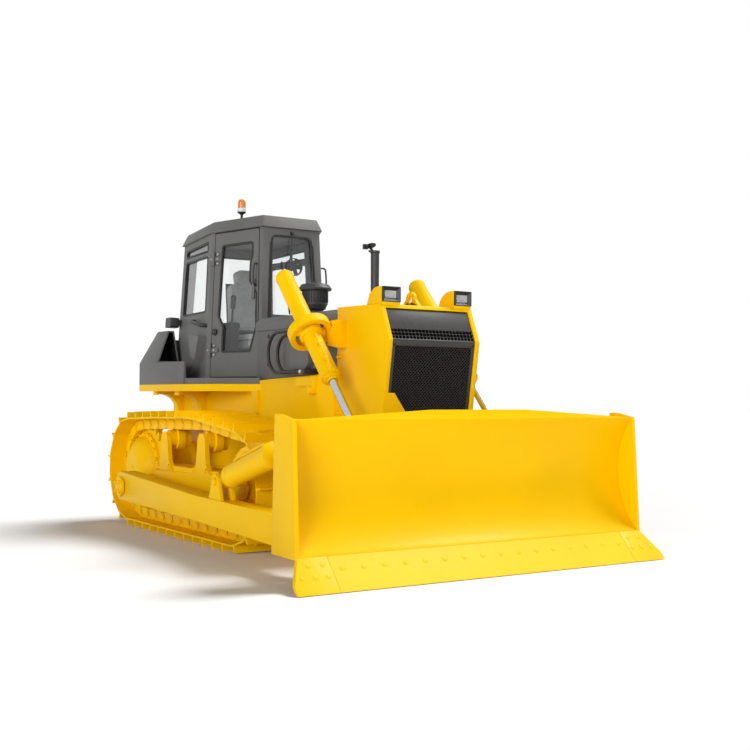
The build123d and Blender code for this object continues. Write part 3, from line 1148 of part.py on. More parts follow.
# Beacon on the roof
BEACON = (AXLE_X + 420.0, -140.0)
beacon_z = roof_plane.origin.Z + ROOF_HEIGHT - (CAB_FRONT[0] - BEACON[0]) * tan(radians(ROOF_SLOPE))
with BuildPart() as beacon:
    upright(*BEACON, [(0, beacon_z - 30), (22, beacon_z - 30), (22, beacon_z + 90), (62, beacon_z + 108),
                      (62, beacon_z + 128), (52, beacon_z + 132), (52, beacon_z + 185),
                      (40, beacon_z + 212),
                      (0, beacon_z + 220)])
    add(cab_roof.part, mode=Mode.SUBTRACT)

# Seat and console
SEAT_X = AXLE_X + 300.0
CUSHION_Z = CAB_FLOOR + 300
BACK_Z = CUSHION_Z + 140
with BuildPart() as seat:
    block(SEAT_X + 40, SEAT_X + 430, -210, 210, CAB_FLOOR, CUSHION_Z - 24)
    block(SEAT_X - 60, SEAT_X + 490, -240, 240, CUSHION_Z - 24, CUSHION_Z)
    side_plate([(SEAT_X - 60, CUSHION_Z - 24), (SEAT_X - 20, CUSHION_Z - 24), (SEAT_X - 100, BACK_Z + 560),
                (SEAT_X - 130, BACK_Z + 560)], -200, 200)
    block(SEAT_X - 10, SEAT_X + 40, -300, 300, CUSHION_Z - 24, CUSHION_Z)
    for rest_y in (-300, 250):
        block(SEAT_X - 10, SEAT_X + 40, rest_y, rest_y + 50, CUSHION_Z - 24, CUSHION_Z + 210)
        block(SEAT_X - 10, SEAT_X + 330, rest_y, rest_y + 50, CUSHION_Z + 210, CUSHION_Z + 255)

with BuildPart() as seat_cushion:
    with BuildSketch(Plane.XY.offset(CUSHION_Z)) as cushion_plan:
        with Locations((SEAT_X + 265, 0)):
            RectangleRounded(470, 480, 60)
    extrude(amount=140)
    fillet(seat_cushion.faces().sort_by(Axis.Z)[-1].edges(), 40)

back_plane = Plane((SEAT_X - 20 - 80 * 164 / 724, 0, BACK_Z), x_dir=(0, 1, 0), z_dir=(724, 0, 80))
with BuildPart() as seat_backrest:
    with BuildSketch(back_plane) as back_face:
        with Locations((0, 285)):
            RectangleRounded(470, 550, 70)
        with Locations((0, 640)):
            RectangleRounded(280, 180, 60)
    extrude(amount=110)

with BuildPart() as console:
    side_plate([(AXLE_X + 1140, CAB_FLOOR), (AXLE_X + 1230, CAB_FLOOR), (AXLE_X + 1215, CAB_FLOOR + 620),
                (AXLE_X + 1120, CAB_FLOOR + 560)], -250, 250)
    for lever_y in (-360, 360):
        block(SEAT_X + 60, SEAT_X + 430, lever_y - 50, lever_y + 50, CAB_FLOOR, CAB_FLOOR + 560)
        rod_between((SEAT_X + 370, CAB_FLOOR + 555), (SEAT_X + 395, CAB_FLOOR + 720), lever_y, 11)
        rod_between((SEAT_X + 392, CAB_FLOOR + 700), (SEAT_X + 406, CAB_FLOOR + 800), lever_y, 24)

# Fenders with their curved brackets
deck_plan = [(DECK_REAR, HULL_HALF), (DECK_REAR, DECK_OUT), (DECK_STRAIGHT, DECK_OUT), DECK_BEND,
             (DECK_FRONT, HULL_HALF)]
BRACKETS = ((AXLE_X - 330.0, 90.0), (AXLE_X + 240.0, 110.0))
WEB_REAR = DECK_FRONT - 90
WEB_ROUND = 120.0
with BuildPart() as fender_right:
    plan_plate([(x, -y) for x, y in deck_plan], DECK_Z, DECK_Z + DECK_THICK)
    for bracket_x, bracket_long in BRACKETS:
        with BuildSketch(Plane.YZ.offset(bracket_x)) as bracket:
            with BuildLine():
                Polyline((-HULL_HALF, 1130), (-HULL_HALF, DECK_Z + 10), (-DECK_OUT + 60, DECK_Z + 10),
                         (-DECK_OUT + 60, DECK_Z - 40))
                ThreePointArc((-DECK_OUT + 60, DECK_Z - 40), (-HULL_HALF - 105, DECK_Z - 95),
                              (-HULL_HALF - 60, 1130))
                Line((-HULL_HALF - 60, 1130), (-HULL_HALF, 1130))
            make_face()
        extrude(amount=bracket_long)
    with BuildSketch(Plane.XZ.offset(HULL_HALF)) as front_web:
        with BuildLine():
            Polyline((WEB_REAR - WEB_ROUND, DECK_Z + 10), (DECK_FRONT - 10, DECK_Z + 10),
                     (DECK_FRONT - 10, 1150),
                     (WEB_REAR, 1150), (WEB_REAR, DECK_Z + 10 - WEB_ROUND))
            RadiusArc((WEB_REAR, DECK_Z + 10 - WEB_ROUND), (WEB_REAR - WEB_ROUND, DECK_Z + 10), -WEB_ROUND)
        make_face()
    extrude(amount=34)

with BuildPart() as fenders:
    both_sides(fender_right.part)

# Boxes on the fenders beside the cab: a slanted hood behind and an open tray ahead of it
BOX_Z = DECK_Z + DECK_THICK
BOX_IN = CAB_REAR[1] + 52
BOX_SIDE = 226.0
BOX_SHOULDER = BOX_Z + BOX_SIDE
HOOD_RISE = 344.0
BOX_TOP = BOX_SHOULDER + HOOD_RISE
HOOD_BOX_FRONT = AXLE_X - 90.0
TRAY_WALL = 30.0
with BuildPart() as fender_box_right:
    with BuildSketch(Plane.YZ.offset(DECK_REAR)) as box_end:
        with BuildLine():
            Polyline((-DECK_OUT, BOX_Z), (-DECK_OUT, BOX_SHOULDER), (-672, BOX_TOP), (-BOX_IN, BOX_TOP),
                     (-BOX_IN, BOX_Z),
                     close=True)
        make_face()
    extrude(amount=HOOD_BOX_FRONT - DECK_REAR)
    side_plate([(DECK_REAR - 1, BOX_SHOULDER), (DECK_REAR + 66, BOX_TOP + 1), (DECK_REAR - 1, BOX_TOP + 1)],
               -DECK_OUT - 1, -BOX_IN + 1, Mode.SUBTRACT)
    side_plate([(HOOD_BOX_FRONT + 1, BOX_SHOULDER), (HOOD_BOX_FRONT + 1, BOX_TOP + 1),
                (HOOD_BOX_FRONT - 141, BOX_TOP + 1)],
               -DECK_OUT - 1, -BOX_IN + 1, Mode.SUBTRACT)
    block(HOOD_BOX_FRONT, DECK_STRAIGHT, -DECK_OUT, -DECK_OUT + TRAY_WALL, BOX_Z, BOX_SHOULDER)
    block(HOOD_BOX_FRONT, DECK_STRAIGHT - 300, -DECK_OUT, -DECK_OUT + 150, BOX_SHOULDER - 20, BOX_SHOULDER)

with BuildPart() as fender_boxes:
    both_sides(fender_box_right.part)

# Fuel tank behind the cab, and the drawbar hitch
TANK_HALF = 590.0
TANK_TOP = 1900.0
with BuildPart() as fuel_tank:
    side_plate([(REAR_X + 60, BOX_Z), (CAB_REAR[0] - 40, BOX_Z), (CAB_REAR[0] - 40, TANK_TOP),
                (REAR_X + 130, TANK_TOP),
                (REAR_X + 60, TANK_TOP - 110)], -TANK_HALF, TANK_HALF)
    upright(REAR_X + 210, -300, [(0, TANK_TOP), (58, TANK_TOP), (58, TANK_TOP + 34), (48, TANK_TOP + 44),
                                 (0, TANK_TOP + 44)])

HITCH_Z = 705.0
HITCH_HALF = 37.0
HITCH_HOLE = 26.0
with BuildPart() as drawbar:
    side_plate([(HULL_REAR, HITCH_Z - 75), (HULL_REAR, HITCH_Z + 75), (REAR_X + 115, HITCH_Z + 75),
                (REAR_X + 100, HITCH_Z + HITCH_HALF), (REAR_X + 15, HITCH_Z + HITCH_HALF),
                (REAR_X, HITCH_Z + 20),
                (REAR_X, HITCH_Z - 20), (REAR_X + 15, HITCH_Z - HITCH_HALF),
                (REAR_X + 100, HITCH_Z - HITCH_HALF),
                (REAR_X + 115, HITCH_Z - 75)], -90, 90)
    with BuildSketch(Plane.XY.offset(HITCH_Z - 200)) as hitch_hole:
        with Locations((REAR_X + 60, 0)):
            Circle(HITCH_HOLE)
    extrude(amount=400, mode=Mode.SUBTRACT)

pieces = {
    "track_right": track_right, "track_left": track_left, "sprockets": sprockets,
    "final_drives": final_drives,
    "idlers": idlers, "track_rollers": track_rollers, "carrier_rollers": carrier_rollers,
    "track_frames": track_frames, "main_frame": main_frame, "engine": engine,
    "radiator_core": radiator_core,
    "radiator_guard": radiator_guard, "grille": grille, "headlamps": headlamps,
    "headlamp_lenses": headlamp_lenses,
    "hood": hood, "engine_side_panels": engine_side_panels, "hose_fittings": hose_fittings,
    "lift_hose_outer": lift_hose_outer, "lift_hose_inner": lift_hose_inner, "exhaust_stack": exhaust_stack,
    "pre_cleaner": pre_cleaner, "cylinder_yokes": cylinder_yokes, "lift_barrel_right": lift_barrel_right,
    "lift_barrel_left": lift_barrel_left, "lift_rod_right": lift_rod_right, "lift_rod_left": lift_rod_left,
    "moldboard": moldboard, "blade_frame": blade_frame, "blade_end_plates": blade_end_plates,
    "cutting_edge": cutting_edge, "end_bits": end_bits, "push_arms": push_arms,
    "tilt_cylinder": tilt_cylinder,
    "blade_brace": blade_brace, "cab_front": cab_front, "cab_side_right": cab_side_right,
    "cab_side_left": cab_side_left, "cab_rear": cab_rear, "cab_glass": cab_glass, "door_right": door_right,
    "door_left": door_left, "door_glass_right": door_glass_right, "door_glass_left": door_glass_left,
    "cab_base": cab_base, "cab_roof": cab_roof, "beacon": beacon, "work_lamps": work_lamps, "seat": seat,
    "seat_cushion": seat_cushion, "seat_backrest": seat_backrest, "console": console,
    "fenders": fenders, "fender_boxes": fender_boxes, "fuel_tank": fuel_tank, "drawbar": drawbar,
}
for piece_name, piece in pieces.items():
    piece.part.label = piece_name
    export_step(piece.part, f"parts/{piece_name}.step")
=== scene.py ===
"""Crawler bulldozer: finishes, fasteners, seals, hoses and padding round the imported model.

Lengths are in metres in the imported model's frame: X forward, Y to the machine's left and Z up.
"""

import json
from math import acos, atan2, cos, dist, hypot, pi, radians, sin, sqrt

import bmesh
import bpy
from mathutils import Matrix, Vector


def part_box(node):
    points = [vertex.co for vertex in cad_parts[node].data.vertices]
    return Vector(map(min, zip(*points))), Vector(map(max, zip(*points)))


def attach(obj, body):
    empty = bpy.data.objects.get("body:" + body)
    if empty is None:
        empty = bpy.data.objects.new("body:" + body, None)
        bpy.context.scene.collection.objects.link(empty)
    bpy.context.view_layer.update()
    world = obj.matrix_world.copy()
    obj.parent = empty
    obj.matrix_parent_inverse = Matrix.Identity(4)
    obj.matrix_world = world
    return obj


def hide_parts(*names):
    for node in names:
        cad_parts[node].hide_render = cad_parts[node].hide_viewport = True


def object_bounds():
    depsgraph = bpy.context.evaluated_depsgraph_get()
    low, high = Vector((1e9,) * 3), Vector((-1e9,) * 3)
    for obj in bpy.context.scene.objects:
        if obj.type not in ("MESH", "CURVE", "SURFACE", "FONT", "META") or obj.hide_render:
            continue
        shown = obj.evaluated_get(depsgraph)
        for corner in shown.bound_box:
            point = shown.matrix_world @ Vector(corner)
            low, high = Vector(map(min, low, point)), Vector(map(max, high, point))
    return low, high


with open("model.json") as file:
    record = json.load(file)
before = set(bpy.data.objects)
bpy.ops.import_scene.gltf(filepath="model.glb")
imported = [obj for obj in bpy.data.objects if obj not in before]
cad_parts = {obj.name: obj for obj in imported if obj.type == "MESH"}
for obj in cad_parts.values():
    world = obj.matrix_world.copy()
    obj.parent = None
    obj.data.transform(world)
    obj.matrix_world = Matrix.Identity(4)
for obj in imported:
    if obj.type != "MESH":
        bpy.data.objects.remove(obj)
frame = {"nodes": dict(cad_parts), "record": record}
CAD_BOX = [list(corner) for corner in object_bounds()]

bl_info = {
    "name": "Crawler bulldozer dressing",
    "version": (1, 0, 0),
    "blender": (4, 5, 0),
    "location": "View3D > Sidebar > Bulldozer",
    "description": "Dresses the packed bulldozer with paint, bolts, seals, hoses and padding",
    "category": "Object",
}

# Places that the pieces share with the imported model
FRONT_X = CAD_BOX[1][0]
REAR_X = CAD_BOX[0][0]
AXLE_X = FRONT_X - 4.499
TRACK_Y = 0.940
RAIL_Y = 0.070
RAIL_OUT = 0.095
PIN_HEIGHT = 0.130
SHOE_TOP = 0.072
SHOE_COUNT = 37
PITCH = 0.203
SPROCKET_RADIUS = 0.440
IDLER_RADIUS = 0.410
CARRIERS = ((0.710, 0.020), (1.570, 0.035))
GUARD_HALF = 0.445
CAB_FLOOR = 1.480
CAB_LEAN = radians(2.74)
CAB_FRONT = (AXLE_X + 1.312, 0.358)
CAB_MIDDLE = (AXLE_X + 0.655, 0.641)
CAB_REAR = (AXLE_X - 0.300, 0.550)
LIFT_PIN = (AXLE_X + 2.845, 1.837)
ROD_EYE = (FRONT_X - 0.649, 0.745)
LIFT_Y = 0.692
EDGE_TOP = (FRONT_X - 0.198, 0.225)
EDGE_LOW = (FRONT_X, 0.006)
DRIVE_Z = SPROCKET_RADIUS + PIN_HEIGHT
ARM_PIVOT = (AXLE_X + 0.470, 0.430)
ARM_EYE = (FRONT_X - 0.699, 0.330)
STRUT_LOW = (FRONT_X - 1.939, 0.615)
STRUT_HIGH = (FRONT_X - 0.639, 0.985)
STRUT_Y = 1.335
GUARD_FOOT = (AXLE_X + 3.450, 0.430)
GUARD_NOSE = (AXLE_X + 3.656, 1.754)
GUARD_BROW = (AXLE_X + 3.536, 2.039)
STACK = (AXLE_X + 2.770, -0.010)
CLEANER = (AXLE_X + 1.890, -0.100)
TANK_CAP = (REAR_X + 0.210, -0.300, 1.902)
HITCH_PIN = (REAR_X + 0.060, 0, 0.705)

# The photograph's view, with its angles in degrees
CAMERA_PLACE = (8.964, -5.234, 1.309)
CAMERA_YAW = 57.22
CAMERA_PITCH = 1.098
CAMERA_ROLL = 0.325
CAMERA_LENS = 53.83
CAMERA_SENSOR = 36.0

# Light on the floor and on the surround, and the strength at which the surround is seen
FLOOR_GLOW = 0.03
ROOM_LIGHT = 0.13
ROOM_SEEN = 1.0


class DozerSettings(bpy.types.PropertyGroup):
    """Colours and sizes of the dressing."""

    yellow: bpy.props.FloatVectorProperty(
        name="Yellow paint", description="Colour of the body and the tracks", subtype="COLOR", size=3,
        default=(0.98, 0.585, 0.0), min=0.0, max=1.0)
    grey: bpy.props.FloatVectorProperty(
        name="Grey paint", description="Colour of the cab, hood and boxes", subtype="COLOR", size=3,
        default=(0.135, 0.135, 0.13), min=0.0, max=1.0)
    black: bpy.props.FloatVectorProperty(
        name="Black", description="Colour of grille, seals and plastic", subtype="COLOR", size=3,
        default=(0.014, 0.014, 0.015), min=0.0, max=1.0)
    cover: bpy.props.FloatVectorProperty(
        name="Seat cover", description="Colour of the seat's cloth", subtype="COLOR", size=3,
        default=(0.52, 0.52, 0.53), min=0.0, max=1.0)
    bolt: bpy.props.FloatProperty(
        name="Bolt size", description="Width across the flats of a bolt head", default=0.030, unit="LENGTH")
    seal: bpy.props.FloatProperty(
        name="Seal width", description="Width of the rubber round each window", default=0.020, unit="LENGTH")
    hose: bpy.props.FloatProperty(
        name="Hose diameter", description="Outside diameter of the hoses", default=0.030, unit="LENGTH")


def settings():
    """The dressing's settings in this file."""
    return bpy.context.scene.dozer


# Helpers for shaping pieces


def only(*objects):
    """Selects these objects alone and makes the first one active."""
    bpy.ops.object.select_all(action="DESELECT")
    for item in objects:
        item.select_set(True)
    bpy.context.view_layer.objects.active = objects[0]
    return objects[0]


def edit(piece):
    """Opens a piece in edit mode with everything selected."""
    only(piece)
    bpy.ops.object.mode_set(mode="EDIT")
    bpy.ops.mesh.select_mode(type="FACE")
    bpy.ops.mesh.select_all(action="SELECT")


def close():
    """Back to object mode."""
    bpy.ops.object.mode_set(mode="OBJECT")


def pick_faces(piece, test):
    """Selects the faces, in edit mode, whose centre and normal pass the test."""
    mesh = bmesh.from_edit_mesh(piece.data)
    for face in mesh.faces:
        face.select = bool(test(face.calc_center_median(), face.normal))
    mesh.select_flush_mode()
    bmesh.update_edit_mesh(piece.data)


def settle(piece):
    """Puts a piece's place into its mesh."""
    only(piece)
    bpy.ops.object.transform_apply(location=True, rotation=True, scale=True)
    return piece


def tidy_mesh(piece):
    """Merges doubles and turns the faces outward."""
    edit(piece)
    bpy.ops.mesh.remove_doubles(threshold=0.00005)
    bpy.ops.mesh.normals_make_consistent(inside=False)
    close()
    return piece


def join(name, parts):
    """Joins pieces into one with this name."""
    only(*parts)
    if len(parts) > 1:
        bpy.ops.object.join()
    piece = bpy.context.view_layer.objects.active
    piece.name = name
    piece.data.name = name
    return settle(piece)


def stand(place, normal, spin=0.0):
    """Matrix that stands an upright piece from the origin on a place, along a normal."""
    turn = Vector((0, 0, 1)).rotation_difference(Vector(normal))
    return Matrix.Translation(Vector(place)) @ turn.to_matrix().to_4x4() @ Matrix.Rotation(spin, 4, "Z")


def put_in(piece, finish, body="chassis", smooth=30):
    """Finishes a piece: its material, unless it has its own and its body."""
    only(piece)
    bpy.ops.object.shade_smooth_by_angle(angle=radians(smooth))
    if finish is not None:
        piece.data.materials.clear()
        piece.data.materials.append(MATERIALS[finish])
    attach(piece, body)


def put_pair(piece, finish, body, smooth=30):
    """Finishes a piece on the right and its mirror image on the left."""
    twin = mirrored(piece, piece.name.replace("right", "left"))
    put_in(piece, finish, body, smooth)
    put_in(twin, finish, body.replace("right", "left"), smooth)


def modify(piece, kind, name, live=False, **values):
    """Gives a piece a modifier with these values, and applies it unless it stays live."""
    made = piece.modifiers.new(name, kind)
    for key, value in values.items():
        setattr(made, key, value)
    if not live:
        only(piece)
        bpy.ops.object.modifier_apply(modifier=name)


def add_object(name, data):
    """A new object with this mesh or curve."""
    piece = bpy.data.objects.new(name, data)
    bpy.context.collection.objects.link(piece)
    return piece


def axes(first, second, third):
    """Matrix that turns X, Y and Z into three directions."""
    return Matrix((first, second, third)).transposed().to_4x4()


def slab(low, high, round_by, segments=2):
    """A block between two corners with rounded edges."""
    low, high = Vector(low), Vector(high)
    bpy.ops.mesh.primitive_cube_add(size=1, location=(low + high) / 2, scale=high - low)
    piece = settle(bpy.context.object)
    edit(piece)
    bpy.ops.mesh.bevel(offset=round_by, segments=segments, affect="EDGES")
    close()
    return piece


def lathe(profile, place=(0, 0, 0), axis=(0, 0, 1), steps=40):
    """A turned piece: a (radius, height) profile spun about an axis."""
    mesh = bpy.data.meshes.new("turned")
    mesh.from_pydata([(radius, 0, height) for radius, height in profile],
                     [(i, i + 1) for i in range(len(profile) - 1)], [])
    piece = only(add_object("turned", mesh))
    bpy.ops.object.mode_set(mode="EDIT")
    bpy.ops.mesh.select_mode(type="VERT")
    bpy.ops.mesh.select_all(action="SELECT")
    bpy.ops.mesh.spin(steps=steps, angle=2 * pi, center=(0, 0, 0), axis=(0, 0, 1))
    close()
    tidy_mesh(piece)
    piece.matrix_world = stand(place, axis)
    return settle(piece)


def round_curve(name, points, radius, closed=False, sides=3, steps=6):
    """A smooth round bar along points, as a curve."""
    curve = bpy.data.curves.new(name, "CURVE")
    curve.dimensions = "3D"
    curve.bevel_depth = radius
    curve.bevel_resolution = sides
    curve.resolution_u = steps
    curve.use_fill_caps = True
    spline = curve.splines.new("NURBS")
    spline.points.add(len(points) - 1)
    for control, point in zip(spline.points, points):
        control.co = (*point, 1)
    spline.use_cyclic_u = closed
    spline.order_u = 3
    spline.use_endpoint_u = not closed
    return add_object(name, curve)


def tube(points, radius, closed=False):
    """A smooth round bar along points, as a mesh."""
    only(round_curve("tube", points, radius, closed))
    bpy.ops.object.convert(target="MESH")
    return tidy_mesh(bpy.context.object)


def plate(outline, y0, y1, round_by=0.0):
    """A flat plate cut to an outline of (x, z) points, from y0 to y1."""
    mesh = bpy.data.meshes.new("plate")
    mesh.from_pydata([(x, y0, z) for x, z in outline], [], [tuple(range(len(outline)))])
    piece = add_object("plate", mesh)
    edit(piece)
    bpy.ops.mesh.extrude_region_move(TRANSFORM_OT_translate={"value": (0, y1 - y0, 0)})
    bpy.ops.mesh.select_all(action="SELECT")
    bpy.ops.mesh.normals_make_consistent(inside=False)
    if round_by:
        bpy.ops.mesh.bevel(offset=round_by, segments=2, affect="EDGES")
    close()
    return piece


def spread(template, name, places):
    """Copies of a template at every matrix, joined into one piece."""
    copies = []
    for place in places:
        copy = add_object(name, template.data.copy())
        copy.matrix_world = place
        copies.append(copy)
    return join(name, copies)


def round_about(place, axis, count):
    """Matrices that turn a piece about an axis through a place, in equal steps."""
    centre = Matrix.Translation(place)
    return [centre @ Matrix.Rotation(2 * pi * step / count, 4, axis) for step in range(count)]


def drop(piece):
    """Removes a template that is no longer needed."""
    bpy.data.objects.remove(piece, do_unlink=True)


def mirrored(piece, name):
    """A mirror image of a piece in the machine's middle plane."""
    copy = add_object(name, piece.data.copy())
    copy.data.name = name
    copy.data.transform(Matrix.Scale(-1, 4, (0, 1, 0)))
    copy.data.flip_normals()
    return copy


def both(parts):
    """The parts and their mirror images."""
    return parts + [mirrored(part, part.name + "_left") for part in parts]


class Wall:
    """One wall of the cab: a point on it by its run, its rise and how far it stands out."""

    def __init__(self, start, end):
        run = hypot(end[0] - start[0], end[1] - start[1])
        along = ((end[0] - start[0]) / run, (end[1] - start[1]) / run)
        self.run = run
        self.foot = Vector((*start, CAB_FLOOR))
        self.along = Vector((*along, 0))
        self.out = Vector((along[1] * cos(CAB_LEAN), -along[0] * cos(CAB_LEAN), sin(CAB_LEAN)))
        self.up = self.out.cross(self.along)

    def at(self, run, rise, out=0.0):
        """The point at a run along the wall, a rise up it and a distance out of it."""
        return self.foot + run * self.along + rise * self.up + out * self.out

    def matrix(self, run, rise, out=0.0):
        """Matrix with X along the wall, Y up it and Z out of it."""
        return Matrix.Translation(self.at(run, rise, out)) @ axes(self.along, self.up, self.out)


def right(point):
    """A plan point on the machine's right."""
    return (point[0], -point[1])


DOOR_WALL = Wall(right(CAB_MIDDLE), right(CAB_FRONT))
QUARTER_WALL = Wall(right(CAB_REAR), right(CAB_MIDDLE))
FRONT_WALL = Wall(right(CAB_FRONT), CAB_FRONT)
REAR_WALL = Wall(CAB_REAR, right(CAB_REAR))

# Shader groups and materials


def add_node(tree, kind, **values):
    """A node with its properties and unlinked inputs set by name."""
    node = tree.nodes.new(kind)
    for key, value in values.items():
        if key in node.inputs:
            node.inputs[key].default_value = value
        else:
            setattr(node, key, value)
    return node


def fill(node, **values):
    """Sets a node's inputs by name, with _ for a blank."""
    for key, value in values.items():
        node.inputs[key.replace("_", " ")].default_value = value


def link(tree, source, output, target, entry):
    """Joins one node's output to another node's input."""
    tree.links.new(source.outputs[output], target.inputs[entry])


def socket(tree, name, kind, out=False, default=None):
    """A named socket on a group."""
    way = "OUTPUT" if out else "INPUT"
    made = tree.interface.new_socket(name, in_out=way, socket_type="NodeSocket" + kind)
    if default is not None:
        made.default_value = default


def mottle_group():
    """Colour, roughness and height that vary a little over a painted or moulded surface."""
    tree = bpy.data.node_groups.new("mottle", "ShaderNodeTree")
    socket(tree, "Colour", "Color", default=(0.5, 0.5, 0.5, 1))
    socket(tree, "Vary", "Float", default=0.1)
    socket(tree, "Scale", "Float", default=3.0)
    socket(tree, "Smooth", "Float", default=0.3)
    socket(tree, "Rough", "Float", default=0.5)
    socket(tree, "Grain", "Float", default=600.0)
    socket(tree, "Colour", "Color", out=True)
    socket(tree, "Roughness", "Float", out=True)
    socket(tree, "Height", "Float", out=True)
    start = tree.nodes.new("NodeGroupInput")
    end = tree.nodes.new("NodeGroupOutput")
    place = add_node(tree, "ShaderNodeTexCoord")
    broad = add_node(tree, "ShaderNodeTexNoise", Detail=4.0)
    fine = add_node(tree, "ShaderNodeTexNoise", Detail=2.0)
    link(tree, place, "Object", broad, "Vector")
    link(tree, place, "Object", fine, "Vector")
    link(tree, start, "Scale", broad, "Scale")
    link(tree, start, "Grain", fine, "Scale")
    low = add_node(tree, "ShaderNodeMath", operation="SUBTRACT")
    low.inputs[0].default_value = 1.0
    link(tree, start, "Vary", low, 1)
    shade = add_node(tree, "ShaderNodeMapRange")
    link(tree, broad, "Fac", shade, "Value")
    fill(shade, From_Min=0.3, From_Max=0.7, To_Max=1.0)
    link(tree, low, 0, shade, "To Min")
    tint = add_node(tree, "ShaderNodeMix", data_type="RGBA", blend_type="MULTIPLY")
    tint.inputs[0].default_value = 1.0
    link(tree, start, "Colour", tint, 6)
    link(tree, shade, "Result", tint, 7)
    link(tree, tint, 2, end, "Colour")
    gloss = add_node(tree, "ShaderNodeMapRange")
    link(tree, broad, "Fac", gloss, "Value")
    link(tree, start, "Smooth", gloss, "To Min")
    link(tree, start, "Rough", gloss, "To Max")
    link(tree, gloss, "Result", end, "Roughness")
    link(tree, fine, "Fac", end, "Height")
    return tree


def dust_group():
    """Colour with a little ground dust that fades with height."""
    tree = bpy.data.node_groups.new("ground_dust", "ShaderNodeTree")
    socket(tree, "Colour", "Color", default=(0.5, 0.5, 0.5, 1))
    socket(tree, "Dust", "Color", default=(0.42, 0.36, 0.27, 1))
    socket(tree, "Amount", "Float", default=0.2)
    socket(tree, "Reach", "Float", default=0.6)
    socket(tree, "Colour", "Color", out=True)
    start = tree.nodes.new("NodeGroupInput")
    end = tree.nodes.new("NodeGroupOutput")
    place = add_node(tree, "ShaderNodeTexCoord")
    parts = add_node(tree, "ShaderNodeSeparateXYZ")
    link(tree, place, "Object", parts, 0)
    fade = add_node(tree, "ShaderNodeMapRange", interpolation_type="SMOOTHSTEP")
    link(tree, parts, "Z", fade, "Value")
    fill(fade, From_Min=0.0, To_Max=0.0)
    link(tree, start, "Reach", fade, "From Max")
    link(tree, start, "Amount", fade, "To Min")
    patches = add_node(tree, "ShaderNodeTexNoise", Scale=7.0, Detail=6.0)
    link(tree, place, "Object", patches, "Vector")
    mask = add_node(tree, "ShaderNodeMath", operation="MULTIPLY")
    link(tree, fade, "Result", mask, 0)
    link(tree, patches, "Fac", mask, 1)
    mix = add_node(tree, "ShaderNodeMix", data_type="RGBA")
    link(tree, mask, 0, mix, 0)
    link(tree, start, "Colour", mix, 6)
    link(tree, start, "Dust", mix, 7)
    link(tree, mix, 2, end, "Colour")
    return tree


GROUPS = {}
MATERIALS = {}


def surface(name, colour, vary, scale, smooth, rough, grain, bump, dust=0.0, **shader):
    """A material on the shared groups; shader holds plain values of the Principled BSDF."""
    material = bpy.data.materials.new(name)
    material.use_nodes = True
    tree = material.node_tree
    principled = tree.nodes["Principled BSDF"]
    mottle = add_node(tree, "ShaderNodeGroup", node_tree=GROUPS["mottle"])
    fill(mottle, Colour=(*colour, 1), Vary=vary, Scale=scale, Smooth=smooth, Rough=rough, Grain=grain)
    colour_out = mottle.outputs["Colour"]
    if dust:
        dusty = add_node(tree, "ShaderNodeGroup", node_tree=GROUPS["dust"])
        fill(dusty, Amount=dust)
        tree.links.new(colour_out, dusty.inputs["Colour"])
        colour_out = dusty.outputs["Colour"]
    tree.links.new(colour_out, principled.inputs["Base Color"])
    link(tree, mottle, "Roughness", principled, "Roughness")
    if bump:
        relief = add_node(tree, "ShaderNodeBump", Strength=bump, Distance=0.001)
        link(tree, mottle, "Height", relief, "Height")
        link(tree, relief, "Normal", principled, "Normal")
    fill(principled, **shader)
    MATERIALS[name] = material
    return material


def weave(material, scale):
    """Adds a woven relief to a cloth material."""
    tree = material.node_tree
    principled = tree.nodes["Principled BSDF"]
    place = add_node(tree, "ShaderNodeTexCoord")
    warp = add_node(tree, "ShaderNodeTexWave", Scale=scale, bands_direction="Y")
    weft = add_node(tree, "ShaderNodeTexWave", Scale=scale, bands_direction="Z")
    for threads in (warp, weft):
        link(tree, place, "Object", threads, "Vector")
    cross = add_node(tree, "ShaderNodeMath", operation="MULTIPLY")
    link(tree, warp, "Fac", cross, 0)
    link(tree, weft, "Fac", cross, 1)
    relief = add_node(tree, "ShaderNodeBump", Strength=0.35, Distance=0.002)
    link(tree, cross, 0, relief, "Height")
    link(tree, relief, "Normal", principled, "Normal")


def smooth_group():
    """Geometry nodes that shade a merged mesh smooth, apart from its sharp edges."""
    tree = bpy.data.node_groups.new("smooth_by_edge", "GeometryNodeTree")
    tree.interface.new_socket("Geometry", in_out="INPUT", socket_type="NodeSocketGeometry")
    tree.interface.new_socket("Geometry", in_out="OUTPUT", socket_type="NodeSocketGeometry")
    start = tree.nodes.new("NodeGroupInput")
    end = tree.nodes.new("NodeGroupOutput")
    faces = add_node(tree, "GeometryNodeSetShadeSmooth", domain="FACE")
    edges = add_node(tree, "GeometryNodeSetShadeSmooth", domain="EDGE")
    angle = add_node(tree, "GeometryNodeInputMeshEdgeAngle")
    flat = add_node(tree, "FunctionNodeCompare", data_type="FLOAT", operation="LESS_THAN")
    flat.inputs[1].default_value = radians(28)
    link(tree, start, 0, faces, "Geometry")
    link(tree, faces, 0, edges, "Geometry")
    link(tree, angle, "Unsigned Angle", flat, 0)
    link(tree, flat, 0, edges, "Shade Smooth")
    link(tree, edges, 0, end, 0)
    return tree


# Track loop, as the links run


def on_circle(centre, radius, angle):
    """A point of a circle in side view."""
    return (centre[0] + radius * cos(angle), centre[1] + radius * sin(angle))


def touching(centre, radius, point, side):
    """Angle on a circle where the line from an outside point touches it."""
    reach = hypot(point[0] - centre[0], point[1] - centre[1])
    return atan2(point[1] - centre[1], point[0] - centre[0]) + side * acos(radius / reach)


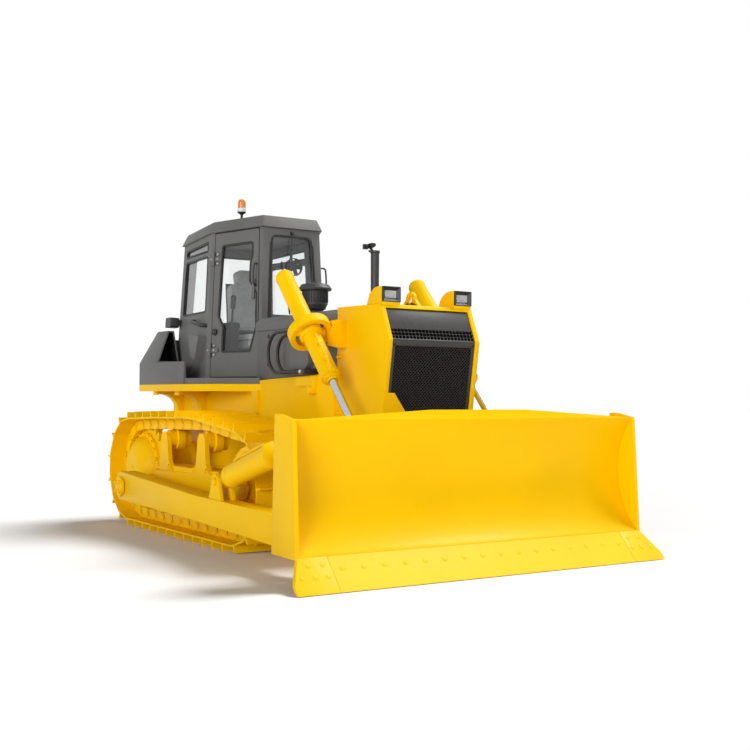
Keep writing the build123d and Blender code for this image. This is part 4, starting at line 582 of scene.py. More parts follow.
def track_pins():
    """Pin places (x, z) round the loop, one for each shoe."""
    bottom = (SHOE_COUNT * PITCH - pi * (SPROCKET_RADIUS + IDLER_RADIUS)) / 2
    sprocket = (AXLE_X, DRIVE_Z)
    idler = (AXLE_X + bottom, IDLER_RADIUS + PIN_HEIGHT)
    rear, fore = [(AXLE_X + x, sprocket[1] + SPROCKET_RADIUS + rise) for x, rise in CARRIERS]
    leave = touching(idler, IDLER_RADIUS, fore, -1)
    meet = touching(sprocket, SPROCKET_RADIUS, rear, 1)
    top = [on_circle(idler, IDLER_RADIUS, leave), fore, rear, on_circle(sprocket, SPROCKET_RADIUS, meet)]
    runs = [hypot(b[0] - a[0], b[1] - a[1]) for a, b in zip(top, top[1:])]
    front_arc = IDLER_RADIUS * (leave + pi / 2)
    rear_arc = SPROCKET_RADIUS * (3 * pi / 2 - meet)
    step = (bottom + front_arc + sum(runs) + rear_arc) / SHOE_COUNT
    pins = []
    for shoe in range(SHOE_COUNT):
        away = shoe * step
        if away < bottom:
            pins.append((AXLE_X + away, PIN_HEIGHT))
            continue
        away -= bottom
        if away < front_arc:
            pins.append(on_circle(idler, IDLER_RADIUS, away / IDLER_RADIUS - pi / 2))
            continue
        away -= front_arc
        for a, b, run in zip(top, top[1:], runs):
            if away < run:
                pins.append((a[0] + (b[0] - a[0]) * away / run, a[1] + (b[1] - a[1]) * away / run))
                break
            away -= run
        else:
            pins.append(on_circle(sprocket, SPROCKET_RADIUS, meet + away / SPROCKET_RADIUS))
    return pins


def bolt_template(across, height):
    """A hexagon bolt head on its washer, standing on the origin."""
    bpy.ops.mesh.primitive_cylinder_add(vertices=6, radius=across / sqrt(3), depth=height,
                                        location=(0, 0, height * 0.7))
    head = settle(bpy.context.object)
    edit(head)
    pick_faces(head, lambda place, normal: normal.z > 0.9)
    bpy.ops.mesh.inset(thickness=across * 0.08)
    bpy.ops.transform.translate(value=(0, 0, height * 0.12))
    close()
    washer = lathe([(across * 0.3, height * 0.24), (across * 0.70, height * 0.24),
                    (across * 0.74, height * 0.1), (across * 0.74, 0)], steps=12)
    return join("bolt", [head, washer])


# Operators, one for each piece or group of like pieces


class DOZER_OT_camera(bpy.types.Operator):
    """Sets the camera at the photograph's viewing angle"""

    bl_idname = "dozer.camera"
    bl_label = "Camera"

    def execute(self, context):
        yaw, pitch, roll = radians(CAMERA_YAW), radians(CAMERA_PITCH), radians(CAMERA_ROLL)
        forward = Vector((-sin(yaw) * cos(pitch), cos(yaw) * cos(pitch), sin(pitch)))
        side = forward.cross(Vector((0, 0, 1))).normalized()
        up = side.cross(forward)
        bpy.ops.object.camera_add(location=CAMERA_PLACE)
        camera = context.object
        turn = Matrix((side, up, -forward)).transposed() @ Matrix.Rotation(roll, 3, "Z")
        camera.rotation_euler = turn.to_euler()
        camera.data.sensor_width = CAMERA_SENSOR
        camera.data.lens = CAMERA_LENS
        context.scene.camera = camera
        return {"FINISHED"}


class DOZER_OT_materials(bpy.types.Operator):
    """Mixes every finish of the machine"""

    bl_idname = "dozer.materials"
    bl_label = "Materials"

    def execute(self, context):
        own = settings()
        GROUPS["mottle"] = mottle_group()
        GROUPS["dust"] = dust_group()
        yellow, grey, black = tuple(own.yellow), tuple(own.grey), tuple(own.black)
        # After the colour: how much it varies and at what scale, least and most roughness,
        # then the grain and its relief
        surface("yellow_paint", yellow, 0.07, 1.6, 0.38, 0.50, 900, 0.03, 0.03,
                Specular_IOR_Level=0.08, Coat_Weight=0.02, Coat_Roughness=0.12)
        surface("grey_paint", grey, 0.16, 2.2, 0.46, 0.58, 800, 0.10, Specular_IOR_Level=0.28)
        surface("black_paint", black, 0.3, 5.0, 0.38, 0.55, 900, 0.08)
        surface("plastic", (0.02, 0.02, 0.021), 0.3, 8.0, 0.42, 0.60, 1500, 0.15)
        surface("rubber", (0.012, 0.012, 0.012), 0.4, 20.0, 0.50, 0.68, 1200, 0.12)
        surface("iron", (0.09, 0.09, 0.092), 0.3, 12.0, 0.45, 0.65, 300, 0.3, Metallic=0.6)
        surface("steel", (0.50, 0.49, 0.47), 0.25, 25.0, 0.28, 0.45, 500, 0.1, Metallic=1.0)
        surface("chrome", (0.52, 0.54, 0.57), 0.08, 30.0, 0.06, 0.14, 900, 0.02, Metallic=1.0)
        surface("glass", (0.95, 0.97, 0.965), 0.03, 3.0, 0.0, 0.05, 50, 0.0, Transmission_Weight=1.0,
                IOR=1.45)
        surface("lens", (0.90, 0.92, 0.93), 0.05, 40.0, 0.05, 0.12, 120, 0.25, Transmission_Weight=0.55,
                IOR=1.5)
        surface("amber", (0.95, 0.30, 0.01), 0.1, 60.0, 0.08, 0.2, 150, 0.1, Transmission_Weight=0.35,
                IOR=1.5)
        surface("white_plastic", (0.80, 0.80, 0.78), 0.06, 20.0, 0.35, 0.5, 900, 0.05)
        surface("mesh_wire", (0.030, 0.029, 0.028), 0.3, 30.0, 0.40, 0.55, 900, 0.05)
        # Near black standing for shade: painted shade in the fender boxes' recesses, and painted shade over
        # the radiator's own dark behind the grille
        surface("painted_shade_black", (0.004, 0.004, 0.004), 0.4, 30.0, 0.60, 0.80, 900, 0.05, Specular_IOR_Level=0.1)
        weave(surface("seat_cover", tuple(own.cover), 0.2, 25.0, 0.75, 0.92, 900, 0.0, Sheen_Weight=0.25),
              260.0)
        return {"FINISHED"}


OUTER_HOSE = [(0.591, -0.576, 1.872), (0.441, -0.576, 1.872), (0.2195, -0.580, 1.875),
              (0.0573, -0.576, 1.872), (-0.047, -0.576, 1.768), (-0.047, -0.576, 1.620),
              (0.0573, -0.576, 1.516), (0.2195, -0.580, 1.513), (0.441, -0.576, 1.516),
              (0.591, -0.576, 1.516)]
INNER_HOSE = [(0.591, -0.534, 1.842), (0.441, -0.534, 1.842), (0.290, -0.538, 1.845), (0.145, -0.534, 1.842),
              (0.052, -0.534, 1.749), (0.052, -0.534, 1.617), (0.145, -0.534, 1.524), (0.290, -0.538, 1.521),
              (0.441, -0.534, 1.524), (0.591, -0.534, 1.524)]


class DOZER_OT_hoses(bpy.types.Operator):
    """Lays the two hoses beside the engine and crimps their ends"""

    bl_idname = "dozer.hoses"
    bl_label = "Hoses"

    def execute(self, context):
        thick = settings().hose
        for name, route, node, length in (("hose_outer", OUTER_HOSE, "lift_hose_outer", 1.480),
                                          ("hose_inner", INNER_HOSE, "lift_hose_inner", 1.261)):
            line = round_curve(name, route, thick / 2, sides=5, steps=12)
            line.data.materials.append(MATERIALS["rubber"])
            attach(line, "chassis")
            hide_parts(node)
        ferrule = [(0.0155, 0), (0.021, 0), (0.0225, 0.004), (0.0225, 0.014), (0.0205, 0.017),
                   (0.0225, 0.020), (0.0225, 0.040), (0.020, 0.044), (0.0155, 0.044)]
        ends = [route[place] for route in (OUTER_HOSE, INNER_HOSE) for place in (0, -1)]
        crimps = join("hose_ferrules", [lathe(ferrule, end, (-1, 0, 0), 24) for end in ends])
        put_in(crimps, "steel")
        return {"FINISHED"}


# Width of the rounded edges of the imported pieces, in millimetres
BEVELLED = {
    "moldboard": 4, "blade_end_plates": 5, "cutting_edge": 3, "end_bits": 3, "push_arms": 10,
    "radiator_guard": 8, "headlamps": 5, "hood": 4, "cab_roof": 10, "cab_base": 5, "fender_boxes": 8,
    "fenders": 6, "fuel_tank": 10, "cab_front": 4, "cab_rear": 4, "drawbar": 4, "cylinder_yokes": 5,
    "hose_fittings": 4, "work_lamps": 5, "engine_side_panels": 5, "main_frame": 5, "seat": 6, "console": 6,
}


class DOZER_OT_finishes(bpy.types.Operator):
    """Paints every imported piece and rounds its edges"""

    bl_idname = "dozer.finishes"
    bl_label = "Finishes"

    def execute(self, context):
        shade = smooth_group()
        slots = {row["node"]: row["material_slot"] for row in frame["record"]["subparts"]}
        for name, node in frame["nodes"].items():
            node.data.materials.clear()
            node.data.materials.append(MATERIALS[slots[name]])
            modify(node, "WELD", "weld", live=True, merge_threshold=0.00005)
            if name in BEVELLED:
                modify(node, "BEVEL", "edges", live=True, width=BEVELLED[name] / 1000, segments=2,
                       limit_method="ANGLE", angle_limit=radians(38), use_clamp_overlap=True)
            modify(node, "NODES", "shade", live=True, node_group=shade)
        return {"FINISHED"}


class DOZER_OT_track_hardware(bpy.types.Operator):
    """Fits pins, bushings and side plates to the links and bolts to the shoes"""

    bl_idname = "dozer.track_hardware"
    bl_label = "Track hardware"

    def execute(self, context):
        pins = track_pins()
        pin = lathe([(0, 0.016), (0.014, 0.016), (0.017, 0.013), (0.017, 0.010), (0.028, 0.010),
                     (0.031, 0.006), (0.031, 0)], steps=16)
        bushing = lathe([(0.020, -0.047), (0.026, -0.046), (0.026, -0.036), (0.022, -0.034), (0.022, 0.034),
                         (0.026, 0.036), (0.026, 0.046), (0.020, 0.047)], steps=16)
        bolt = bolt_template(settings().bolt * 0.9, 0.014)
        outline = [(-0.092, -0.030), (-0.074, -0.046), (0.074, -0.046), (0.092, -0.030), (0.092, 0.030),
                   (0.060, 0.052), (-0.060, 0.052), (-0.092, 0.030)]
        side_bar = plate(outline, -0.005, 0.005, 0.003)
        for side, name in ((-1, "right"), (1, "left")):
            ends = []
            middles = []
            heads = []
            links = []
            for (x, z), (ahead_x, ahead_z) in zip(pins, pins[1:] + pins[:1]):
                for face in (-1, 1):
                    ends.append(stand((x, side * TRACK_Y + face * RAIL_OUT, z), (0, face, 0)))
                middles.append(stand((x, side * TRACK_Y, z), (0, 1, 0)))
                run = Vector((ahead_x - x, 0, ahead_z - z))
                out = Vector((run.z, 0, -run.x)).normalized()
                lay = axes(run.normalized(), out.cross(run.normalized()), out)
                for face in (-1, 1):
                    middle = Vector((x, side * TRACK_Y + face * (RAIL_OUT + 0.005), z)) + run / 2
                    links.append(Matrix.Translation(middle) @ lay)
                for share in (0.36, 0.76):
                    for rail in (-RAIL_Y, RAIL_Y):
                        foot = Vector((x, side * TRACK_Y + rail, z)) + share * run + SHOE_TOP * out
                        heads.append(stand(foot, out))
            for template, label, places in ((pin, "track_pins_", ends), (bushing, "track_bushings_", middles),
                                            (bolt, "shoe_bolts_", heads), (side_bar, "link_plates_", links)):
                put_in(spread(template, label + name, places), "yellow_paint")
        for template in (pin, bushing, bolt, side_bar):
            drop(template)
        return {"FINISHED"}


def ring_places(centre, radius, count, normal, first=0.0):
    """Places round a ring in side view, standing along Y."""
    places = []
    for step in range(count):
        x, z = on_circle((centre[0], centre[2]), radius, first + 2 * pi * step / count)
        places.append(stand((x, centre[1], z), normal))
    return places


class DOZER_OT_fasteners(bpy.types.Operator):
    """Bolts the cutting edge, covers, guards, caps and hinges"""

    bl_idname = "dozer.fasteners"
    bl_label = "Fasteners"

    def execute(self, context):
        size = settings().bolt
        bolt = bolt_template(size, 0.017)
        small = bolt_template(size * 0.6, 0.010)
        edge = Vector((EDGE_LOW[0] - EDGE_TOP[0], 0, EDGE_LOW[1] - EDGE_TOP[1]))
        out = Vector((-edge.z, 0, edge.x)).normalized()

        def on_edge(y, share):
            place = Vector((EDGE_TOP[0], y, EDGE_TOP[1])) + share * edge
            return stand(place, out)

        blade = [on_edge(-1.29 + 0.172 * step, 0.36) for step in range(16)]
        for side in (-1, 1):
            blade += [on_edge(side * (1.43 + 0.11 * step), 0.22) for step in range(2)]
            blade += [on_edge(side * (1.42 + 0.10 * step), 0.55) for step in range(3)]
        plow = lathe([(0, 0.005), (0.012, 0.005), (0.0185, 0.003), (0.020, 0)], steps=16)
        put_in(spread(plow, "edge_bolts", blade), "yellow_paint", "blade")

        chassis = []
        for side in (-1, 1):
            away = (0, side, 0)
            cover = (AXLE_X, side * (TRACK_Y + 0.063), DRIVE_Z)
            chassis += ring_places(cover, 0.338, 20, away)
            guard = side * (TRACK_Y + 0.145)
            for step in range(6):
                chassis.append(stand((AXLE_X + 0.86 + 0.276 * step, guard, 0.262), away))
            for station, _ in CARRIERS:
                for step in (-0.130, 0.130):
                    chassis.append(stand((AXLE_X + station + step, side * (TRACK_Y + 0.146), 0.640), away))
            for step in range(8):
                chassis.append(stand((AXLE_X + 2.910, side * GUARD_HALF, 0.55 + 0.155 * step), away))
        put_in(spread(bolt, "chassis_bolts", chassis), "yellow_paint")

        trunnions = []
        for side in (-1, 1):
            trunnions += ring_places((ARM_PIVOT[0], side * 1.452, ARM_PIVOT[1]), 0.060, 4, (0, side, 0),
                                     pi / 4)
        put_in(spread(bolt, "trunnion_bolts", trunnions), "yellow_paint")

        door, pillar = [], []
        hinge_run = 0.0635
        for rise in (0.275, 1.180):
            for step in (-0.045, 0.0, 0.045):
                door.append(DOOR_WALL.matrix(hinge_run + 0.048, rise + step, 0.006))
                pillar.append(DOOR_WALL.matrix(hinge_run - 0.030, rise + step, 0.006))
        for places, body, name in ((door, "right_door", "hinge_bolts_door_right"),
                                   (pillar, "chassis", "hinge_bolts_pillar_right")):
            put_pair(spread(small, name, places), "steel", body)
        plugs = [lathe([(0, 0.012), (0.022, 0.012), (0.026, 0.008), (0.034, 0.006), (0.036, -0.004)],
                       (AXLE_X, side * (TRACK_Y + 0.199), DRIVE_Z), (0, side, 0), 24)
                 for side in (-1, 1)]
        put_in(join("drive_plugs", plugs), "yellow_paint")
        for template in (bolt, small, plow):
            drop(template)
        return {"FINISHED"}


def nose_frame(low, high):
    """Origin, upward direction and outward direction of the guard's front between two (x, z) points."""
    up = Vector((high[0] - low[0], 0, high[1] - low[1])).normalized()
    return Vector((low[0], 0, low[1])), up, Vector((up.z, 0, -up.x))


class DOZER_OT_grille(bpy.types.Operator):
    """Makes the grille's two panels, the shroud and fins behind them and the tilt line's cover"""

    bl_idname = "dozer.grille"
    bl_label = "Grille"

    def execute(self, context):
        half = 0.403
        inset = 0.012
        pieces = []

        # Wire mesh: a grid turned to diamonds, trimmed to the panel and given round wires
        origin, up, out = nose_frame(GUARD_FOOT, GUARD_NOSE)
        reach = dist(GUARD_FOOT, GUARD_NOSE)
        bottom, height = 0.36, reach - 0.03
        bpy.ops.mesh.primitive_grid_add(x_subdivisions=76, y_subdivisions=76, size=1.55)
        mesh = context.object
        edit(mesh)
        bpy.ops.transform.rotate(value=pi / 4, orient_axis="Z", center_override=(0, 0, 0))
        wide, tall = half - 0.02, (height - bottom) / 2 - 0.02
        for place, normal in (((wide, 0, 0), (1, 0, 0)), ((-wide, 0, 0), (-1, 0, 0)),
                              ((0, tall, 0), (0, 1, 0)), ((0, -tall, 0), (0, -1, 0))):
            bpy.ops.mesh.select_all(action="SELECT")
            bpy.ops.mesh.bisect(plane_co=place, plane_no=normal, clear_outer=True)
        close()
        modify(mesh, "WIREFRAME", "wires", thickness=0.0085, use_even_offset=False)
        turn = axes(Vector((0, 1, 0)), up, out)
        middle = origin + up * ((bottom + height) / 2) - out * (inset + 0.006)
        mesh.matrix_world = Matrix.Translation(middle) @ turn
        settle(mesh)
        pieces.append(mesh)

        def panel_part(x0, x1, y0, y1, base, depth=0.012):
            """A rounded strip of a panel, in the panel's own plane."""
            strip = slab((x0, y0, -depth), (x1, y1, 0), 0.003)
            strip.matrix_world = base
            return settle(strip)

        low_base = Matrix.Translation(origin - out * inset) @ turn
        for strip in ((-half, half, 0.05, bottom + 0.02), (-half, half, height - 0.02, height + 0.024),
                      (-half, -wide + 0.01, bottom, height), (wide - 0.01, half, bottom, height)):
            pieces.append(panel_part(*strip, low_base))

        # Upper panel: a cell with a square hole, repeated in three rows, between plain strips
        origin, up, out = nose_frame(GUARD_NOSE, GUARD_BROW)
        turn = axes(Vector((0, 1, 0)), up, out)
        high_base = Matrix.Translation(origin - out * inset) @ turn
        reach = dist(GUARD_NOSE, GUARD_BROW) - 0.035
        columns, rows = 24, 3
        pitch_x, pitch_y = 2 * half / columns, 0.030
        bpy.ops.mesh.primitive_plane_add(size=1, location=(-half + pitch_x / 2, 0.030, 0))
        cell = context.object
        cell.scale = (pitch_x, pitch_y, 1)
        settle(cell)
        edit(cell)
        bpy.ops.mesh.inset(thickness=0.0055)
        bpy.ops.mesh.delete(type="FACE")
        close()
        for count, step in ((columns, (pitch_x, 0, 0)), (rows, (0, pitch_y, 0))):
            modify(cell, "ARRAY", "rows", count=count, use_relative_offset=False, use_constant_offset=True,
                   constant_offset_displace=step, use_merge_vertices=True)
        tidy_mesh(cell)
        modify(cell, "SOLIDIFY", "wall", thickness=0.006)
        cell.matrix_world = high_base
        settle(cell)
        pieces.append(cell)
        pieces.append(panel_part(-half, half, 0.002, 0.0155, high_base))
        pieces.append(panel_part(-half, half, 0.0145 + rows * pitch_y, reach, high_base))
        grille = join("grille_panels", pieces)
        put_in(grille, "mesh_wire")
        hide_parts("grille")

        # Shroud and cooling fins close behind the panels, near black: partly the radiator's own dark, partly
        # painted shade behind the grille
        fin = slab((0, -0.0012, 0), (0.022, 0.0012, 1.10), 0.0005, 1)
        fins = spread(fin, "fins", [Matrix.Translation((AXLE_X + 3.300, -0.39 + 0.012 * step, 0.80))
                                    for step in range(66)])
        drop(fin)
        back = slab((AXLE_X + 3.285, -0.400, 0.480), (AXLE_X + 3.305, 0.400, 2.000), 0.004)
        outline = [(AXLE_X + 3.290, 0.500), (AXLE_X + 3.440, 0.500), (AXLE_X + 3.632, 1.752),
                   (AXLE_X + 3.520, 1.995), (AXLE_X + 3.290, 1.995)]
        sides = [plate(outline, y, y + 0.006) for y in (-0.4035, 0.3975)]
        shroud = join("radiator_shroud", [fins, back, *sides])
        put_in(shroud, "painted_shade_black")

        # Cover over the tilt line, at the foot of the guard on the right
        cover = plate([(-0.440, 0.620), (0.115, 0.760), (-0.355, 1.350), (-0.440, 1.350)], -0.006, 0.006,
                      0.003)
        origin, up, out = nose_frame(GUARD_FOOT, GUARD_NOSE)
        across = axes(Vector((0, 1, 0)), -out, up)
        cover.matrix_world = Matrix.Translation(origin + out * 0.007 - up * 0.430) @ across
        settle(cover)
        cover.name = "tilt_line_cover"
        put_in(cover, "yellow_paint")
        return {"FINISHED"}


class DOZER_OT_lamps(bpy.types.Operator):
    """Frames and ribs the head lamps, lenses the work lamps and dresses the beacon"""

    bl_idname = "dozer.lamps"
    bl_label = "Lamps"

    def execute(self, context):
        low, high = (Vector(corner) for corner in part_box("headlamp_lenses"))
        frames, ribs = [], []
        half = 0.0717
        for side in (-1, 1):
            middle = Vector((high.x, side * (high.y - half), (low.z + high.z) / 2))
            bezel = slab((high.x - 0.012, middle.y - half - 0.015, low.z - 0.012),
                         (high.x + 0.024, middle.y + half + 0.015, high.z + 0.014), 0.006)
            edit(bezel)
            pick_faces(bezel, lambda place, normal: normal.x > 0.95)
            bpy.ops.mesh.inset(thickness=0.026)
            bpy.ops.transform.translate(value=(-0.022, 0, 0))
            bpy.ops.mesh.delete(type="FACE")
            close()
            frames.append(bezel)
            for step in range(11):
                y = middle.y - half + 0.012 + step * (2 * half - 0.024) / 10
                ribs.append(slab((high.x - 0.001, y - 0.0035, low.z + 0.006),
                                 (high.x + 0.003, y + 0.0035, high.z - 0.006), 0.0015))
        put_in(join("lamp_bezels", frames), "black_paint")
        put_in(join("lamp_ribs", ribs), "lens")

        # Work lamps look back from the cab's rear corners
        face = QUARTER_WALL.at(-0.070, 0.595, 0.078)
        back = -QUARTER_WALL.along
        rim = lathe([(0.040, 0.004), (0.046, 0.006), (0.049, 0.002), (0.049, -0.006), (0.040, -0.006)], face,
                    back, 32)
        glass = lathe([(0, 0.010), (0.020, 0.009), (0.034, 0.005), (0.041, 0.0), (0.041, -0.004),
                       (0, -0.004)], face, back, 32)
        put_in(join("work_lamp_rims", both([rim])), "black_paint")
        put_in(join("work_lamp_glass", both([glass])), "lens")

        # Beacon: a stem on its foot, a white band and a ribbed amber dome
        low, high = (Vector(corner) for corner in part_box("beacon"))
        x, y, foot_z = (low.x + high.x) / 2, (low.y + high.y) / 2, low.z
        foot = lathe([(0, 0), (0.032, 0), (0.032, 0.006), (0.015, 0.010), (0.013, 0.140), (0.018, 0.152),
                      (0.044, 0.168), (0.046, 0.176), (0, 0.176)], (x, y, foot_z))
        band = lathe([(0, 0.176), (0.044, 0.176), (0.0445, 0.180), (0.0445, 0.212), (0.041, 0.216),
                      (0, 0.216)], (x, y, foot_z))
        ribs = [(0.0405, 0.216)]
        for step in range(7):
            ribs += [(0.0415, 0.220 + 0.008 * step), (0.0405, 0.224 + 0.008 * step)]
        dome = lathe([(0, 0.216), *ribs, (0.040, 0.282), (0.035, 0.296), (0.024, 0.305), (0, 0.309)],
                     (x, y, foot_z), steps=48)
        put_in(foot, "plastic")
        put_in(band, "white_plastic")
        put_in(dome, "amber", smooth=50)
        foot.name, band.name, dome.name = "beacon_foot", "beacon_band", "beacon_dome"
        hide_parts("beacon")
        return {"FINISHED"}


class DOZER_OT_window_seals(bpy.types.Operator):
    """Presses a rubber seal round every window"""

    bl_idname = "dozer.window_seals"
    bl_label = "Window seals"

    def execute(self, context):
        wide = settings().seal
        flip = Vector((1, -1, 1))
        outs = [FRONT_WALL.out, REAR_WALL.out, QUARTER_WALL.out, QUARTER_WALL.out * flip, DOOR_WALL.out,
                DOOR_WALL.out * flip]
        for node, body in (("cab_glass", "chassis"), ("door_glass_right", "right_door"),
                           ("door_glass_left", "left_door")):
            seal = add_object("seal_" + node, frame["nodes"][node].data.copy())
            edit(seal)
            bpy.ops.mesh.remove_doubles(threshold=0.0001)
            pick_faces(seal, lambda place, normal: max(normal.dot(out) for out in outs) < 0.97
                       or normal.dot(Vector((place.x - CAB_MIDDLE[0], place.y, 0))) < 0)
            bpy.ops.mesh.delete(type="FACE")
            bpy.ops.mesh.select_all(action="SELECT")
            bpy.ops.mesh.dissolve_limited(angle_limit=radians(2))
            bpy.ops.mesh.select_all(action="SELECT")
            bpy.ops.mesh.inset(thickness=wide, use_individual=True)
            bpy.ops.mesh.delete(type="FACE")
            close()
            modify(seal, "SOLIDIFY", "rubber", thickness=0.017, offset=1.0)
            tidy_mesh(seal)
            put_in(seal, "rubber", body)
        return {"FINISHED"}


class DOZER_OT_fender_boxes(bpy.types.Operator):
    """Opens the front of the hoods on the fenders and paints their inside near black as painted shade"""

    bl_idname = "dozer.fender_boxes"
    bl_label = "Fender boxes"

    def execute(self, context):
        piece = add_object("fender_hoods", frame["nodes"]["fender_boxes"].data.copy())
        piece.data.materials.clear()
        piece.data.materials.append(MATERIALS["grey_paint"])
        piece.data.materials.append(MATERIALS["painted_shade_black"])
        edit(piece)
        bpy.ops.mesh.remove_doubles(threshold=0.0001)
        bpy.ops.mesh.dissolve_limited(angle_limit=radians(1))
        for side in (-1, 1):
            pick_faces(piece, lambda place, normal: normal.x > 0.8 and normal.z > 0.2 and place.y * side > 0)
            bpy.ops.mesh.inset(thickness=0.018)
            # The recess's walls get the near-black material: painted shade in the hollow, not the boxes' own
            # colour
            piece.active_material_index = 1
            bpy.ops.mesh.extrude_region_move(TRANSFORM_OT_translate={"value": (-0.21, 0, -0.03)})
            bpy.ops.object.material_slot_assign()
            # Faces further inside the recess get the same painted shade
            pick_faces(piece, lambda place, normal: AXLE_X - 0.42 < place.x < AXLE_X - 0.17
                       and 1.63 < place.z < 1.98 and 0.61 < place.y * side < 0.82
                       and (normal.y * side < 0.3 or place.y * side < 0.65) and normal.z < 0.9)
            bpy.ops.object.material_slot_assign()
        bpy.ops.mesh.select_all(action="SELECT")
        bpy.ops.mesh.normals_make_consistent(inside=False)
        close()
        modify(piece, "BEVEL", "edges", width=0.006, segments=2, limit_method="ANGLE",
               angle_limit=radians(38))
        put_in(piece, None)
        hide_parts("fender_boxes")
        return {"FINISHED"}


class DOZER_OT_cab_fittings(bpy.types.Operator):
    """Adds door pulls, locks, grab rails, the windscreen wiper and the side panels' latches"""

    bl_idname = "dozer.cab_fittings"
    bl_label = "Cab fittings"

    def execute(self, context):
        # Door pull beside the window, with its lock below
        run, rise = DOOR_WALL.run - 0.098, 1.000
        pull = tube([DOOR_WALL.at(run, rise - 0.105, 0.010), DOOR_WALL.at(run, rise - 0.105, 0.050),
                     DOOR_WALL.at(run, rise - 0.060, 0.056), DOOR_WALL.at(run, rise + 0.060, 0.056),
                     DOOR_WALL.at(run, rise + 0.105, 0.050), DOOR_WALL.at(run, rise + 0.105, 0.010)], 0.009)
        lock = lathe([(0.012, 0.034), (0.016, 0.032), (0.018, 0.026), (0.030, 0.025), (0.033, 0.021),
                      (0.033, 0.012), (0.028, 0.0)], DOOR_WALL.at(0.112, 0.455, 0.002), DOOR_WALL.out, 28)
        put_pair(join("door_fittings_right", [pull, lock]), "plastic", "right_door")

        # Grab rail under each quarter window
        rail = tube([QUARTER_WALL.at(0.560, 0.585, 0.0), QUARTER_WALL.at(0.560, 0.585, 0.055),
                     QUARTER_WALL.at(0.620, 0.575, 0.062), QUARTER_WALL.at(0.860, 0.535, 0.062),
                     QUARTER_WALL.at(0.915, 0.525, 0.055), QUARTER_WALL.at(0.915, 0.525, 0.0)], 0.019)
        put_in(join("grab_rails", both([rail])), "black_paint")

        # Wiper on the windscreen: pivot, arm and blade
        pivot = lathe([(0, 0.030), (0.014, 0.028), (0.018, 0.020), (0.020, 0.0)],
                      FRONT_WALL.at(0.36, 1.418, 0.0), FRONT_WALL.out, 20)
        arm = tube([FRONT_WALL.at(0.36, 1.418, 0.020), FRONT_WALL.at(0.34, 1.25, 0.022),
                    FRONT_WALL.at(0.30, 1.00, 0.012), FRONT_WALL.at(0.28, 0.86, 0.004)], 0.006)
        blade = slab((-0.005, -0.26, -0.010), (0.005, 0.26, 0.006), 0.002)
        blade.matrix_world = FRONT_WALL.matrix(0.285, 0.88, -0.002) @ Matrix.Rotation(radians(9), 4, "Z")
        settle(blade)
        put_in(join("wiper", [pivot, arm, blade]), "plastic")

        # Latches on the engine's side panels
        latches = []
        for x in (AXLE_X + 1.62, AXLE_X + 2.02, AXLE_X + 2.72):
            for z in (1.60, 1.86):
                latches.append(lathe([(0, 0.012), (0.008, 0.012), (0.009, 0.008), (0.018, 0.007),
                                      (0.021, 0.0)], (x, -0.438, z), (0, -1, 0), 20))
        put_in(join("panel_latches", both(latches)), "black_paint")
        return {"FINISHED"}


class DOZER_OT_stacks(bpy.types.Operator):
    """Makes the exhaust pipe with its rain cap and trims the pre-cleaner"""

    bl_idname = "dozer.stacks"
    bl_label = "Stacks"

    def execute(self, context):
        x, y = STACK
        wall = [(0.030, 2.566), (0.041, 2.566), (0.043, 2.560), (0.043, 2.548), (0.037, 2.542),
                (0.036, 2.200), (0.047, 2.196), (0.048, 2.176), (0.037, 2.172), (0.037, 2.110),
                (0.058, 2.100), (0.064, 2.085), (0.064, 2.042), (0.030, 2.042), (0.030, 2.566)]
        pipe = lathe(wall, (x, y, 0), steps=36)
        lid = lathe([(0, 0.006), (0.030, 0.005), (0.045, 0.0), (0.046, -0.004), (0, -0.002)],
                    (x - 0.068, y, 2.620), (-0.42, 0, 0.91), 32)
        hinge = tube([(x - 0.044, y - 0.034, 2.566), (x - 0.046, y, 2.568), (x - 0.044, y + 0.034, 2.566)],
                     0.009)
        lever = tube([(x - 0.040, y, 2.572), (x - 0.075, y, 2.600), (x - 0.120, y, 2.622),
                      (x - 0.150, y, 2.628)], 0.011)
        weight = slab((x - 0.172, y - 0.022, 2.596), (x - 0.140, y + 0.022, 2.642), 0.006)
        stack = join("exhaust_pipe", [pipe, lid, hinge, lever, weight])
        put_in(stack, "black_paint")
        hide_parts("exhaust_stack")

        x, y = CLEANER
        rim = lathe([(0.112, 2.286), (0.151, 2.288), (0.154, 2.294), (0.154, 2.302), (0.147, 2.312),
                     (0.112, 2.312)], (x, y, 0), steps=48)
        band = lathe([(0.1135, 2.150), (0.118, 2.152), (0.118, 2.166), (0.1135, 2.168)], (x, y, 0), steps=48)
        vane = slab((0.098, -0.0025, 2.172), (0.122, 0.0025, 2.276), 0.001)
        vanes = spread(vane, "vanes", round_about((x, y, 0), "Z", 30))
        drop(vane)
        knob = lathe([(0, 2.372), (0.014, 2.371), (0.017, 2.364), (0.012, 2.356), (0.012, 2.348)], (x, y, 0),
                     steps=20)
        put_in(join("pre_cleaner_trim", [rim, band, vanes, knob]), "plastic")
        return {"FINISHED"}


